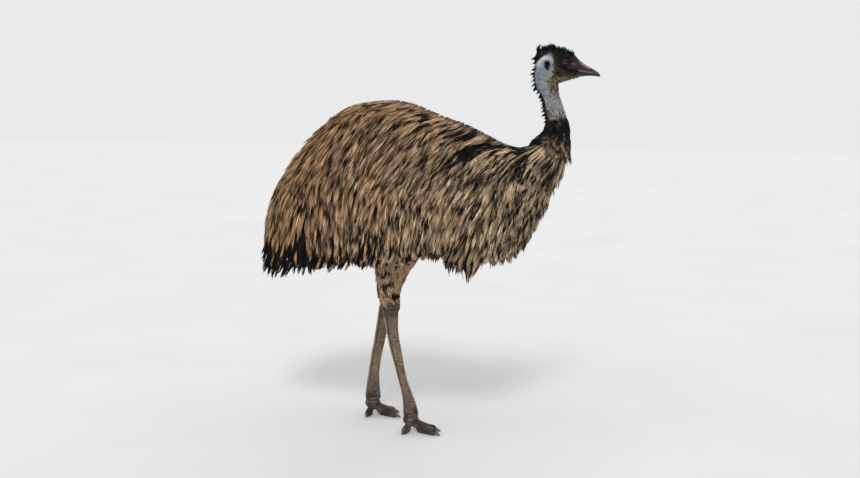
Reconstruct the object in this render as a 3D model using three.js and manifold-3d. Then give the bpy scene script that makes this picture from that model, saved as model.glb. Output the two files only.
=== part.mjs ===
// An emu standing in mid-stride, life size, as a still model. Millimetres: +X is forward, towards the bill,
// +Y is the bird's left and +Z is up. The origin is on the floor, under the middle of the bird's box.

import * as THREE from "three";
import { mergeVertices } from "three/addons/utils/BufferGeometryUtils.js";
import Module from "manifold-3d";

const wasm = await Module();
wasm.setup();

// Driving sizes. The bird is drawn with x = 0 over its hips and moved to the middle of its box at the end.
const middleX = -37;
const gap = 0.3; // between two nodes that touch
const sides = { left: 1, right: -1 };
const headAt = [455, 0, 1410]; // the middle of the ear openings
const headTurn = THREE.MathUtils.degToRad(18); // the head looks a little to the bird's left
const neckCut = 1222; // height where bare neck skin gives way to plumage
const thighCut = 508; // height where the thigh's feathers end above the hock
const creaseAt = 60; // height of the crease between the shank and the foot
const sunk = 12; // how deep a lock's root sits in the body

const point = (x, y, z) => new THREE.Vector3(x, y, z);
const { lerp, smoothstep, clamp, degToRad } = THREE.MathUtils;
const shares = (count) => Array.from({ length: count + 1 }, (_, k) => k / count);

// Seeded draws, so that every build gives the same bird.
function seeded(seed) {
  let state = seed;
  return (low, high) => {
    state = (state * 1664525 + 1013904223) % 4294967296;
    return lerp(low, high, state / 4294967296);
  };
}

// A smooth value of each column of a table of stations: share runs from 0 at the first row to 1 at the last.
function along(rows, share) {
  const spot = clamp(share, 0, 1) * (rows.length - 1);
  const first = Math.min(Math.floor(spot), rows.length - 2);
  const f = spot - first;
  const near = [-1, 0, 1, 2].map((k) => rows[clamp(first + k, 0, rows.length - 1)]);
  return rows[0].map((_, column) => {
    const [a, b, c, d] = near.map((row) => row[column]);
    const bend = 2 * a - 5 * b + 4 * c - d;
    const swing = 3 * b - a - 3 * c + d;
    return b + 0.5 * f * (c - a + f * (bend + f * swing));
  });
}

// ---------- Solids ----------

// The closed solid of a three.js geometry, turned to face out.
function solidOf(geometry) {
  const shape = geometry.index ? geometry.toNonIndexed() : geometry.clone();
  shape.deleteAttribute("normal");
  shape.deleteAttribute("uv");
  const merged = mergeVertices(shape, 1e-3);
  const corners = merged.index.array;
  const places = merged.attributes.position.array;
  const triangles = [];
  for (let k = 0; k < corners.length; k += 3) {
    const [a, b, c] = [corners[k], corners[k + 1], corners[k + 2]];
    if (a !== b && b !== c && a !== c) triangles.push([a, b, c]);
  }
  const corner = (k) => point(0, 0, 0).fromArray(places, 3 * k);
  const cone = (sum, [a, b, c]) => sum + corner(a).dot(corner(b).cross(corner(c)));
  const inward = triangles.reduce(cone, 0) < 0;
  const facing = inward ? triangles.map(([a, b, c]) => [a, c, b]) : triangles;
  return new wasm.Manifold(
    new wasm.Mesh({
      numProp: 3,
      vertProperties: new Float32Array(places),
      triVerts: new Uint32Array(facing.flat()),
    }),
  );
}

const join = (solids) => wasm.Manifold.union(solids);

// The part of a solid on the side of a plane that its normal points to, kept half a gap off it.
// A plane is [normal, a point on it].
function beyond(solid, [normal, through]) {
  const reach = 4000;
  const way = normal.clone().normalize();
  const block = new THREE.BoxGeometry(reach, reach, reach);
  block.applyQuaternion(new THREE.Quaternion().setFromUnitVectors(point(0, 0, 1), way));
  block.translate(...through.clone().addScaledVector(way, gap / 2 + reach / 2).toArray());
  return solid.intersect(solidOf(block));
}

const behind = (solid, [normal, through]) => beyond(solid, [normal.clone().negate(), through]);
const between = (solid, lower, upper) => behind(beyond(solid, lower), upper);

// A closed body through sections { at, side, up }: a cylinder whose rings are set on them. Roundness 1 gives an
// ellipse and less a squarer section. What would reach below the floor is pressed flat on it. Ends is how much
// further than its sections the body reaches, and start the angle where its sides begin.
function loft(sections, count, { roundness = 1, floor = -Infinity, ends = 0, start = 0 } = {}) {
  const rings = sections.length - 1;
  const away = (from, to) => to.at.clone().sub(from.at).setLength(ends);
  sections[0].at.add(away(sections[1], sections[0]));
  sections[rings].at.add(away(sections[rings - 1], sections[rings]));
  const shape = new THREE.CylinderGeometry(1, 1, 1, count, rings, false, start);
  const place = shape.getAttribute("position");
  const square = (v) => Math.sign(v) * Math.abs(v) ** roundness;
  for (let k = 0; k < place.count; k++) {
    const section = sections[Math.round((0.5 - place.getY(k)) * rings)];
    const spot = section.at
      .clone()
      .addScaledVector(section.side, square(place.getX(k)))
      .addScaledVector(section.up, square(place.getZ(k)));
    place.setXYZ(k, spot.x, spot.y, Math.max(spot.z, floor));
  }
  return solidOf(shape);
}

// A flat, tapered lock of feathers through spots { at, out }, root first, where out is the way that its face looks.
// It is widest a third of the way down and ends in a point.
const lockWidths = [[0.62], [1], [0.9], [0.55], [0.2]];

function lock(spots, width, thickness, grow = 0) {
  const rings = spots.length - 1;
  const shape = new THREE.ConeGeometry(1, 1, 4, rings);
  const place = shape.getAttribute("position");
  for (let k = 0; k < place.count; k++) {
    const ring = Math.round((0.5 + place.getY(k)) * rings);
    const { at, out } = spots[ring];
    const run = spots[Math.min(ring + 1, rings)].at.clone().sub(spots[Math.max(ring - 1, 0)].at);
    const across = run.clone().cross(out).normalize();
    const face = across.clone().cross(run).normalize();
    const size = Math.hypot(place.getX(k), place.getZ(k));
    const rim = size > 1e-6 && ring < rings ? 1 / size : 0;
    const [broad] = along(lockWidths, ring / rings);
    const thick = thickness * lerp(1, 0.45, ring / rings);
    const spot = at
      .clone()
      .addScaledVector(across, place.getX(k) * rim * ((width * broad) / 2 + grow))
      .addScaledVector(face, place.getZ(k) * rim * (thick / 2 + grow));
    const end = ring === rings ? 2 : ring ? 0 : -1;
    spot.addScaledVector(run.normalize(), grow * end);
    place.setXYZ(k, spot.x, spot.y, spot.z);
  }
  return solidOf(shape);
}

const skins = {
  plumage: { color: "#6b5138", roughness: 0.9 },
  headPlumage: { color: "#1d1816", roughness: 0.9 },
  neckSkin: { color: "#7d8f9c", roughness: 0.7 },
  bill: { color: "#3b3531", roughness: 0.45 },
  legSkin: { color: "#6a5c4e", roughness: 0.7 },
  claw: { color: "#26211d", roughness: 0.4 },
  eye: { color: "#3a1a0c", roughness: 0.1 },
};

const bird = new THREE.Group();
bird.position.set(-middleX, 0, 0);

// Whether each edge of a mesh joins two faces, with corners closer than a micrometre taken as one.
function isSound({ vertProperties, triVerts }) {
  const uses = new Map();
  for (let k = 0; k < triVerts.length; k += 3) {
    const corners = [0, 1, 2].map((c) => {
      const from = 3 * triVerts[k + c];
      return vertProperties.slice(from, from + 3).map((v) => Math.round(v * 1000)).join();
    });
    if (new Set(corners).size < 3) continue;
    corners.forEach((corner, c) => {
      const edge = [corner, corners[(c + 1) % 3]].sort().join("|");
      uses.set(edge, (uses.get(edge) ?? 0) + 1);
    });
  }
  return [...uses.values()].every((count) => count === 2);
}

// The largest closed surface of a solid, which fills any hollow that joining sealed. Slivers are smoothed away by
// the first tolerance that leaves it sound.
function surfaceOf(solid) {
  const tries = [0.06, 0.09, 0.04, 0.12, 0.02, 0.005].map((tolerance) => {
    const bodies = solid.simplify(tolerance).decompose();
    return () => bodies.reduce((a, b) => (b.volume() > a.volume() ? b : a)).getMesh();
  });
  const meshes = tries.map((take) => take());
  return meshes.find(isSound) ?? meshes[0];
}

// Adds a node of the bird, its surface with a name and a finish.
function node(name, skin, solid) {
  const mesh = surfaceOf(solid);
  const geometry = new THREE.BufferGeometry();
  const places = new Float32Array(mesh.vertProperties);
  geometry.setAttribute("position", new THREE.BufferAttribute(places, 3));
  geometry.setIndex(new THREE.BufferAttribute(new Uint32Array(mesh.triVerts), 1));
  geometry.computeVertexNormals();
  const material = new THREE.MeshStandardMaterial({ ...skins[skin], metalness: 0 });
  const made = new THREE.Mesh(geometry, material);
  made.name = name;
  bird.add(made);
}

// ---------- The mantle: the outer surface of the body's plumage ----------

// Each flow line runs down the coat from the ridge of the back, or the foot of the neck, to the hem. It is given at
// four levels as [x, distance from the midplane, z]. The lines go round from the breast to the tail.
const flowLines = [
  [[542, 0, 1075], [492, 0, 980], [440, 0, 848], [335, 0, 690]], // middle of the breast
  [[515, 48, 1085], [455, 110, 985], [400, 135, 850], [300, 125, 680]],
  [[450, 52, 1130], [395, 135, 1045], [330, 190, 885], [245, 178, 680]], // shoulder
  [[350, 8, 1110], [290, 130, 1062], [200, 205, 890], [140, 200, 685]],
  [[235, 4, 1148], [150, 140, 1092], [50, 222, 905], [10, 215, 682]], // flank
  [[80, 4, 1212], [0, 146, 1152], [-115, 230, 935], [-150, 218, 665]],
  [[-90, 4, 1277], [-200, 142, 1202], [-300, 226, 955], [-345, 212, 645]],
  [[-240, 4, 1278], [-365, 122, 1182], [-490, 196, 935], [-530, 180, 628]], // rump
  [[-340, 4, 1255], [-490, 72, 1118], [-615, 125, 885], [-655, 112, 622]],
  [[-415, 0, 1208], [-555, 0, 1068], [-668, 0, 880], [-708, 0, 655]], // middle of the tail
];
const hemFall = point(-40, 0, -600); // which way the coat hangs on past the hem

// The mantle's point and outward normal, round from the breast (0) to the tail (1) and down from the ridge (0) to
// the hem (1), on one side of the bird. Past the midplane the other side begins.
function mantle(round, down, side) {
  const spot = (u, v) => {
    const other = u < 0 || u > 1 ? -1 : 1;
    const folded = u < 0 ? -u : u > 1 ? 2 - u : u;
    const line = [0, 1, 2, 3].map((level) => along(flowLines.map((row) => row[level]), folded));
    const [x, y, z] = along(line, v);
    return point(x, y * side * other, z).addScaledVector(hemFall, Math.max(0, v - 1));
  };
  const small = 0.01;
  const across = spot(round + small, down).sub(spot(round - small, down));
  const low = clamp(down, 0.02, 0.98);
  const drop = spot(round, low + small).sub(spot(round, low - small));
  return { at: spot(round, down), out: drop.cross(across).normalize().multiplyScalar(side) };
}

// ---------- The body under the plumage ----------

// Sections of the core across X: [x, top, bottom, half width].
const coreStations = [
  [-652, 822, 800, 8],
  [-630, 892, 742, 54],
  [-560, 1008, 702, 108],
  [-455, 1136, 692, 150],
  [-330, 1218, 698, 173],
  [-190, 1243, 710, 184],
  [-50, 1226, 724, 186],
  [80, 1176, 730, 182],
  [200, 1124, 732, 166],
  [300, 1088, 748, 140],
  [378, 1078, 790, 107],
  [430, 1060, 855, 78],
  [464, 1015, 915, 42],
  [478, 975, 945, 12],
];
const coreRoundness = 0.92;

function bodyCore() {
  const sections = shares(15).map((share) => {
    const [x, top, bottom, half] = along(coreStations, share);
    const at = point(x, 0, (top + bottom) / 2);
    return { at, side: point(0, half, 0), up: point(0, 0, (top - bottom) / 2) };
  });
  return loft(sections, 18, { roundness: coreRoundness });
}

// About how deep a point lies in the core, in millimetres, and negative outside it.
function coreDepth({ x, y, z }) {
  let [low, high] = [0, 1];
  for (let k = 0; k < 16; k++) {
    const middle = (low + high) / 2;
    if (along(coreStations, middle)[0] < x) low = middle;
    else high = middle;
  }
  const [, top, bottom, half] = along(coreStations, low);
  const tall = (top - bottom) / 2;
  const power = 2 / coreRoundness;
  const reach = Math.abs(y / half) ** power + Math.abs((z - (top + bottom) / 2) / tall) ** power;
  return (1 - reach ** (1 / power)) * Math.min(half, tall);
}

// Where a lock's root sits below a point of the coat: on the way to the core's middle line, sunk in the core.
function rootBelow(at) {
  const aim = point(clamp(at.x, -570, 410), 0, clamp(at.z, 870, 1010));
  const depths = shares(40).map((share) => at.clone().lerp(aim, share));
  return depths.find((spot) => coreDepth(spot) >= sunk) ?? aim;
}

// The neck's flesh, from deep in the breast up into the skull: [x, z, half depth, half width, lean of the section].
const neckStations = [
  [400, 1010, 84, 60, 0.5],
  [440, 1060, 74, 52, 0.42],
  [470, 1110, 60, 45, 0.3],
  [487, 1160, 44, 39, 0.12],
  [489, 1205, 37, 35, -0.1],
  [478, 1250, 35, 33, -0.3],
  [465, 1295, 33, 32, -0.25],
  [452, 1328, 42, 34, -0.1],
  [449, 1360, 46, 37, 0],
  [447, 1385, 42, 38, 0],
  [447, 1412, 32, 34, 0],
];

// The section of the neck at a share of the way through rows of [x, z, half depth, half width, lean].
function neckSection(rows, share) {
  const [x, z, deep, half, lean] = along(rows, share);
  const forward = point(Math.cos(lean), 0, -Math.sin(lean));
  return { at: point(x, 0, z), side: point(0, half, 0), up: forward.multiplyScalar(deep) };
}

const neckTube = loft(shares(13).map((share) => neckSection(neckStations, share)), 12);

// The planes that part the body and the neck.
const neckFoot = [point(0.25, 0, 0.968), point(470, 0, 1091.5)];
const breastEdge = [point(1, 0, -0.385), point(214, 0, 870)];
const rumpEdge = [point(1, 0, -0.31), point(-517, 0, 870)];
const neckBreak = [point(-0.24, 0, 0.97), point(486, 0, neckCut)];
const thighFoot = [point(0, 0, 1), point(0, 0, thighCut)];
const crease = [point(0, 0, 1), point(0, 0, creaseAt)];

// Rows of locks on the mantle, from the parting on the back down to the hem: where the roots sit, how far the locks
// reach, how many there are on a side, and how far they are shifted along the row.
const mantleRows = [
  { down: 0, reach: 0.34, count: 8, shift: 0.5 },
  { down: 0.23, reach: 0.34, count: 9, shift: 0 },
  { down: 0.46, reach: 0.34, count: 9, shift: 0.5 },
  { down: 0.68, reach: 0.36, count: 10, shift: 0 },
];

function mantleLocks() {
  const draw = seeded(7);
  const locks = [];
  for (const side of Object.values(sides)) {
    for (const { down, reach, count, shift } of mantleRows) {
      for (let k = 0; k < count; k++) {
        const round = (k + shift + draw(-0.12, 0.12)) / (count - (shift ? 0 : 1));
        const drift = draw(-0.25, 0.25) / count;
        const length = reach * draw(0.9, 1.1);
        const lift = draw(0, 6);
        const half = 0.5 / count;
        const mid = down + length / 2;
        const room = mantle(round + half, mid, side).at.distanceTo(mantle(round - half, mid, side).at);
        const spots = shares(3).map((share) => {
          const { at, out } = mantle(round + drift * share, down + length * share, side);
          return { at: at.addScaledVector(out, share ? lerp(-9, lift, share) : 0), out };
        });
        spots[0].at = rootBelow(spots[0].at);
        locks.push(lock(spots, clamp(room * 1.12, 60, 150), 15));
      }
    }
  }
  return locks;
}

// ---------- Legs and feet ----------

// The stations of each leg: x, distance from the midplane, z, half depth and half width. A toe is its bearing in
// degrees from forward, its length from the middle of the ball and its width.
const legs = {
  right: {
    thigh: [
      [-92, 88, 762, 92, 62],
      [-106, 88, 705, 86, 60],
      [-122, 87, 630, 70, 56],
      [-137, 86, 560, 49, 45],
      [-137, 85, 512, 41, 36],
      [-133, 85, 480, 37, 31],
    ],
    shank: [
      [-137, 85, 530, 36, 30],
      [-133, 85, 488, 39, 32],
      [-132, 85, 455, 31, 27],
      [-127, 85, 395, 25, 23],
      [-112, 85, 312, 21.5, 21],
      [-98, 85, 255, 18, 19.5],
      [-86, 86, 205, 17, 19.5],
      [-70, 86, 155, 19, 21.5],
      [-56, 87, 105, 25, 26],
      [-50, 87, 62, 30, 30],
    ],
    ball: [-50, 87],
    toes: { inner: [6, 100, 24], middle: [-17, 116, 27], outer: [-101, 62, 21] },
  },
  left: {
    thigh: [
      [-96, 88, 762, 92, 62],
      [-124, 88, 705, 86, 60],
      [-160, 87, 630, 70, 56],
      [-190, 86, 560, 49, 45],
      [-206, 85, 512, 41, 36],
      [-212, 85, 480, 37, 31],
    ],
    shank: [
      [-200, 85, 530, 36, 30],
      [-210, 85, 488, 39, 32],
      [-219, 85, 455, 31, 27],
      [-229, 85, 395, 26, 23],
      [-243, 85, 312, 23, 21.5],
      [-256, 85, 255, 22, 20],
      [-265, 86, 205, 22, 20],
      [-272, 86, 155, 23, 22],
      [-275, 87, 105, 27, 26],
      [-275, 87, 62, 31, 30],
    ],
    ball: [-275, 87],
    toes: { inner: [-93, 62, 21], middle: [-15, 116, 27], outer: [18, 92, 23] },
  },
};

// The section of a limb at a share of the way through its rows, grown by so much.
function limbSection(rows, share, side, grow = 0) {
  const [x, y, z, deep, half] = along(rows, share);
  return { at: point(x, side * y, z), side: point(0, half + grow, 0), up: point(deep + grow, 0, 0) };
}

const limbSections = (rows, side, count, grow) =>
  shares(count).map((share) => limbSection(rows, share, side, grow));

// The point and outward normal on a limb's or neck's outer form, at a turn round it from the front.
function onSections(rows, share, angle, sectionsOf) {
  const { at, side, up } = sectionsOf(rows, share);
  const out = up.clone().multiplyScalar(Math.cos(angle)).addScaledVector(side, Math.sin(angle));
  return { at: at.clone().add(out), out: out.clone().normalize() };
}

// The thigh: flesh and packed feathers, with two rings of locks that reach its outer form.
const thighRows = [
  { down: 0.2, reach: 0.38, count: 6 },
  { down: 0.5, reach: 0.37, count: 6 },
];
const thighCoat = 11;

function thigh(name, grow = 0) {
  const rows = legs[name].thigh;
  const side = sides[name];
  const draw = seeded(21);
  const core = loft(limbSections(rows, side, 6, grow - thighCoat), 10, { ends: grow });
  const sectionAt = (_, share) => limbSection(rows, share, side);
  const locks = thighRows.flatMap(({ down, reach, count }, row) =>
    Array.from({ length: count }, (_, k) => {
      const angle = ((k + row / 2 + draw(-0.15, 0.15)) / count) * 2 * Math.PI;
      const length = reach * draw(0.92, 1.06);
      const lift = draw(0, 3);
      const spots = shares(3).map((share) => {
        const spot = onSections(rows, down + length * share, angle, sectionAt);
        spot.at.addScaledVector(spot.out, share ? lerp(-7, lift, share) : -thighCoat - sunk * 0.7);
        return spot;
      });
      const [, , , deep] = along(rows, down + length / 2);
      return lock(spots, ((2 * Math.PI * deep) / count) * 1.02, 11, grow);
    }),
  );
  return join([core, ...locks]);
}

// The small wing's drooping bundle, which lies on the flank and ends below the hem.
const wingStations = [
  [322, 176, 975, 10, 16],
  [292, 198, 900, 15, 26],
  [252, 212, 810, 16, 30],
  [216, 207, 715, 15, 25],
  [190, 192, 618, 5, 8],
];

function wing(side, grow = 0) {
  const sectionAt = (share, inset = 0) => {
    const [x, y, z, thick, half] = along(wingStations, share);
    const wide = half - inset + grow;
    return {
      at: point(x, side * y, z),
      side: point(wide, 0, -0.3 * wide),
      up: point(0, side * (thick - inset + grow), 0),
    };
  };
  const core = loft(shares(5).map((share) => sectionAt(share * 0.8, 5)), 8, { ends: grow });
  const draw = seeded(33);
  const locks = [0.1, 0.46].flatMap((down) =>
    [-0.6, 0.6].map((across) => {
      const length = 0.54 * draw(0.9, 1);
      const spots = shares(3).map((share) => {
        const section = sectionAt(down + length * share);
        const out = section.up.clone().normalize();
        const depth = share ? 0.75 : 0.15;
        const at = section.at.addScaledVector(section.side, across * (0.9 - 0.4 * share));
        return { at: at.addScaledVector(section.up, depth), out };
      });
      return lock(spots, 38, 9, grow);
    }),
  );
  return join([core, ...locks]);
}

// ---------- Body nodes ----------

const clear = Object.entries(sides).flatMap(([name, side]) => [
  thigh(name, 2 * gap),
  wing(side, 2 * gap),
]);
const coat = join([bodyCore(), neckTube, ...mantleLocks()]).subtract(join(clear));
node("breast", "plumage", beyond(behind(coat, neckFoot), breastEdge));
node("torso", "plumage", between(coat, rumpEdge, breastEdge));
node("tail", "plumage", behind(coat, rumpEdge));

// ---------- Neck ----------

// The plumage's outer form on the neck, from its top edge down to the breast, as for the flesh.
const ruffStations = [
  [483, 1234, 37, 36, -0.2],
  [490, 1190, 47, 43, 0],
  [486, 1155, 55, 50, 0.1],
  [468, 1105, 79, 64, 0.28],
  [460, 1045, 94, 80, 0.42],
];
const ruffRows = [
  { down: 0.04, reach: 0.42, count: 8 },
  { down: 0.38, reach: 0.44, count: 8 },
];

function ruffLocks() {
  const draw = seeded(45);
  return ruffRows.flatMap(({ down, reach, count }, row) =>
    Array.from({ length: count }, (_, k) => {
      const angle = ((k + row / 2 + draw(-0.15, 0.15)) / count) * 2 * Math.PI;
      const length = reach * draw(0.92, 1.08);
      const spots = shares(3).map((share) => {
        const spot = onSections(ruffStations, down + length * share, angle, neckSection);
        spot.at.addScaledVector(spot.out, share ? lerp(-5, 1, share) : -24);
        return spot;
      });
      const [, , deep] = along(ruffStations, down + length / 2);
      return lock(spots, ((2 * Math.PI * deep) / count) * 1.05, 9);
    }),
  );
}

node("neck_lower", "plumage", between(join([neckTube, ...ruffLocks()]), neckFoot, neckBreak));

// ---------- Head: sizes are in its own frame, x along the bill and z up, from the middle of the ears ----------

const turn = new THREE.Matrix4().makeRotationZ(headTurn).setPosition(...headAt);
const inHead = (x, y, z) => point(x, y, z).applyMatrix4(turn);
const headWay = (x, y, z) => point(x, y, z).transformDirection(turn);
const headJoint = [headWay(0.273, 0, 0.962), inHead(0, 0, -58)];
const billRoot = [headWay(0.94, 0, -0.34), inHead(103, 0, -3)];
const gape = [headWay(0.158, 0, 0.987), inHead(94, 0, -27.5)];

// Sections of the skull and of the bill: x, top, bottom, half width.
const skullRows = [
  [-47, 20, -6, 9],
  [-42, 36, -24, 24],
  [-28, 50, -42, 34],
  [-6, 58, -56, 39],
  [18, 61, -63, 41.5],
  [42, 56, -66, 41.5],
  [62, 50, -62, 40],
  [80, 42, -56, 36],
  [96, 31, -51, 31],
  [112, 18, -48, 26.5],
];
const billRows = [
  [84, 40, -53, 34],
  [100, 28, -50, 29.5],
  [116, 14.5, -47, 26],
  [132, 2, -44.5, 23.5],
  [150, -9.5, -43.2, 20],
  [166, -18, -43.5, 16],
  [180, -26.5, -45, 10.5],
  [188, -33.5, -46, 6],
  [192, -40, -44.5, 2],
];

function headSection(rows, share) {
  const [x, top, bottom, half] = along(rows, share);
  return {
    at: inHead(x, 0, (top + bottom) / 2),
    side: headWay(0, 1, 0).multiplyScalar(half),
    up: headWay(0, 0, 1).multiplyScalar((top - bottom) / 2),
  };
}

const headLoft = (rows, count, rings, roundness) =>
  loft(shares(rings).map((share) => headSection(rows, share)), count, { roundness });

// A rounded lump or hollow in the head's frame, from its middle and its three half sizes.
function blob(x, y, z, size, detail = 10) {
  const ball = new THREE.SphereGeometry(1, detail, Math.round(detail * 0.6));
  ball.scale(...size);
  ball.translate(x, y, z);
  ball.applyMatrix4(turn);
  return solidOf(ball);
}

const eye = { x: 57, y: 28.5, z: 6, radius: 16 };
const ear = { x: -4, z: 1, halfLength: 9, halfHeight: 13, inner: 33, outer: 40.5, cup: 4.5 };

const eyeball = (side, grow = 0) => {
  const size = eye.radius + grow;
  return blob(eye.x, side * eye.y, eye.z, [size, size, size], 12);
};

// The two lids: a ring that hugs the eyeball, pulled out into its front and back corners.
function lids(side) {
  const ring = new THREE.TorusGeometry(12.4, 2.4, 4, 10);
  ring.rotateX(Math.PI / 2);
  ring.scale(1.14, 1, 0.92);
  ring.translate(eye.x, side * 38.6, eye.z);
  ring.applyMatrix4(turn);
  return solidOf(ring);
}

function earDisc(side, grow = 0) {
  const disc = new THREE.CylinderGeometry(1, 0.75, ear.outer - ear.inner + 2 * grow, 12);
  disc.scale(ear.halfLength + grow, side, ear.halfHeight + grow);
  disc.translate(ear.x, (side * (ear.inner + ear.outer)) / 2, ear.z);
  disc.applyMatrix4(turn);
  return solidOf(disc);
}

// A stiff bristle that leaves the skin at a spot, leaning back by so much of its length.
function bristle(spot, back, length, width) {
  const way = spot.out.clone().addScaledVector(back, 1.4).normalize();
  const cone = new THREE.ConeGeometry(width / 2, length + 5, 3, 1);
  cone.applyQuaternion(new THREE.Quaternion().setFromUnitVectors(point(0, 1, 0), way));
  cone.translate(...spot.at.clone().addScaledVector(way, (length - 5) / 2).toArray());
  return solidOf(cone);
}

// Bristles over the crown and down the nape of the head.
function crest() {
  const draw = seeded(58);
  return Array.from({ length: 18 }, (_, k) => {
    const row = k % 5;
    const share = lerp(0.08, 0.82, (k + draw(0, 0.8)) / 18);
    const angle = (row - 2) * 0.3 + draw(-0.1, 0.1);
    const spot = onSections(skullRows, share, angle, headSection);
    return bristle(spot, headWay(-1, 0, 0), draw(6, 12), draw(2.2, 3.2));
  });
}

// Bristles down the back of the bare neck, thinner towards the plumage.
function napeBristles() {
  const draw = seeded(64);
  return Array.from({ length: 18 }, (_, k) => {
    const share = lerp(0.46, 0.78, (k + draw(0, 0.8)) / 18);
    const angle = Math.PI + ((k % 5) - 2) * 0.34 + draw(-0.12, 0.12);
    const spot = onSections(neckStations, share, angle, neckSection);
    return bristle(spot, point(-0.3, 0, -1), draw(7, 11), draw(2.2, 3));
  });
}

const sideList = Object.values(sides);
const hollows = sideList.flatMap((side) => [eyeball(side, gap), earDisc(side, 2 * gap)]);
const skull = join([headLoft(skullRows, 18, 11, 0.95), neckTube, ...sideList.map(lids), ...crest()]);
node("head", "headPlumage", behind(beyond(skull.subtract(join(hollows)), headJoint), billRoot));
node("neck_upper", "neckSkin", between(join([neckTube, ...napeBristles()]), neckBreak, headJoint));

const nostrils = sideList.map((side) => blob(154, side * 16.6, -20, [5.5, 3, 2.2], 8));
const bill = beyond(headLoft(billRows, 12, 8, 0.9), billRoot);
node("bill_upper", "bill", beyond(bill, gape).subtract(join(nostrils)));
node("bill_lower", "bill", behind(bill, gape));

for (const [name, side] of Object.entries(sides)) {
  const cup = blob(ear.x, side * (ear.outer + 0.5), ear.z, [ear.halfLength - 2, ear.cup, ear.halfHeight - 2.5]);
  node(`eye_${name}`, "eye", eyeball(side));
  node(`ear_${name}`, "neckSkin", earDisc(side).subtract(cup));
  node(`wing_${name}`, "plumage", wing(side));
}

// ---------- Feet ----------

// A toe's sections from the middle of the ball to its end: share of the length, top, sole and share of the half
// width, and the claw's from where it leaves the toe. The soles reach below the floor and are pressed flat on it.
const toeRows = [
  [0, 62, 18, 0.9],
  [0.2, 56, 14, 0.9],
  [0.38, 46, -2.5, 0.95],
  [0.6, 35, -2.5, 0.9],
  [0.8, 30, -2, 0.85],
  [0.95, 26, -1.5, 0.72],
  [1, 19, 2, 0.5],
];
const clawRows = [
  [0, 19, 4, 0.36],
  [0.4, 17, 4, 0.32],
  [0.75, 12, 3, 0.22],
  [1, 5, 2.2, 0.06],
];
const clawFrom = 0.93; // share of the toe's length where its claw starts
const clawLength = 0.26; // beside the toe's

// The section of a toe or claw, with run the distance from the middle of the ball.
function toeSection(foot, [bearing, , width], run, top, sole, wide) {
  const way = degToRad(bearing);
  const crown = top * (0.55 + width / 60);
  const at = point(foot.x, foot.y, (crown + sole) / 2);
  at.add(point(Math.cos(way), Math.sin(way), 0).multiplyScalar(run));
  const across = point(-Math.sin(way), Math.cos(way), 0);
  return {
    at,
    side: across.multiplyScalar(width * 0.62 * wide),
    up: point(0, 0, Math.max((crown - sole) / 2, 0.9)),
  };
}

function toeBody(foot, shape) {
  const sections = shares(6).map((share) => {
    const [run, ...form] = along(toeRows, share);
    return toeSection(foot, shape, run * shape[1], ...form);
  });
  return loft(sections, 8, { floor: 0, start: Math.PI / 8 });
}

function clawBody(foot, shape, grow = 0) {
  const sections = shares(3).map((share) => {
    const [run, top, sole, wide] = along(clawRows, share);
    const at = (clawFrom + run * clawLength) * shape[1];
    return toeSection(foot, shape, at, top + grow, sole - grow, wide + grow / 12);
  });
  return loft(sections, 6, { floor: 0.6 - Math.min(grow, 0.5) });
}

// A scute: a raised, bevelled plate on the skin at a spot, with its length along a direction.
function scute(spot, run, width, length) {
  const plate = new THREE.CylinderGeometry(0.6, 0.707, 5, 4, 1);
  plate.rotateY(Math.PI / 4);
  plate.scale(width, 1, length);
  const across = run.clone().cross(spot.out).normalize();
  const ahead = spot.out.clone().cross(across).normalize();
  plate.applyMatrix4(new THREE.Matrix4().makeBasis(across, spot.out, ahead));
  plate.translate(...spot.at.clone().addScaledVector(spot.out, -1.5).toArray());
  return solidOf(plate);
}

const scuteRise = 12.5; // from one shank scute to the next
const shankScutes = 7;

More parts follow.
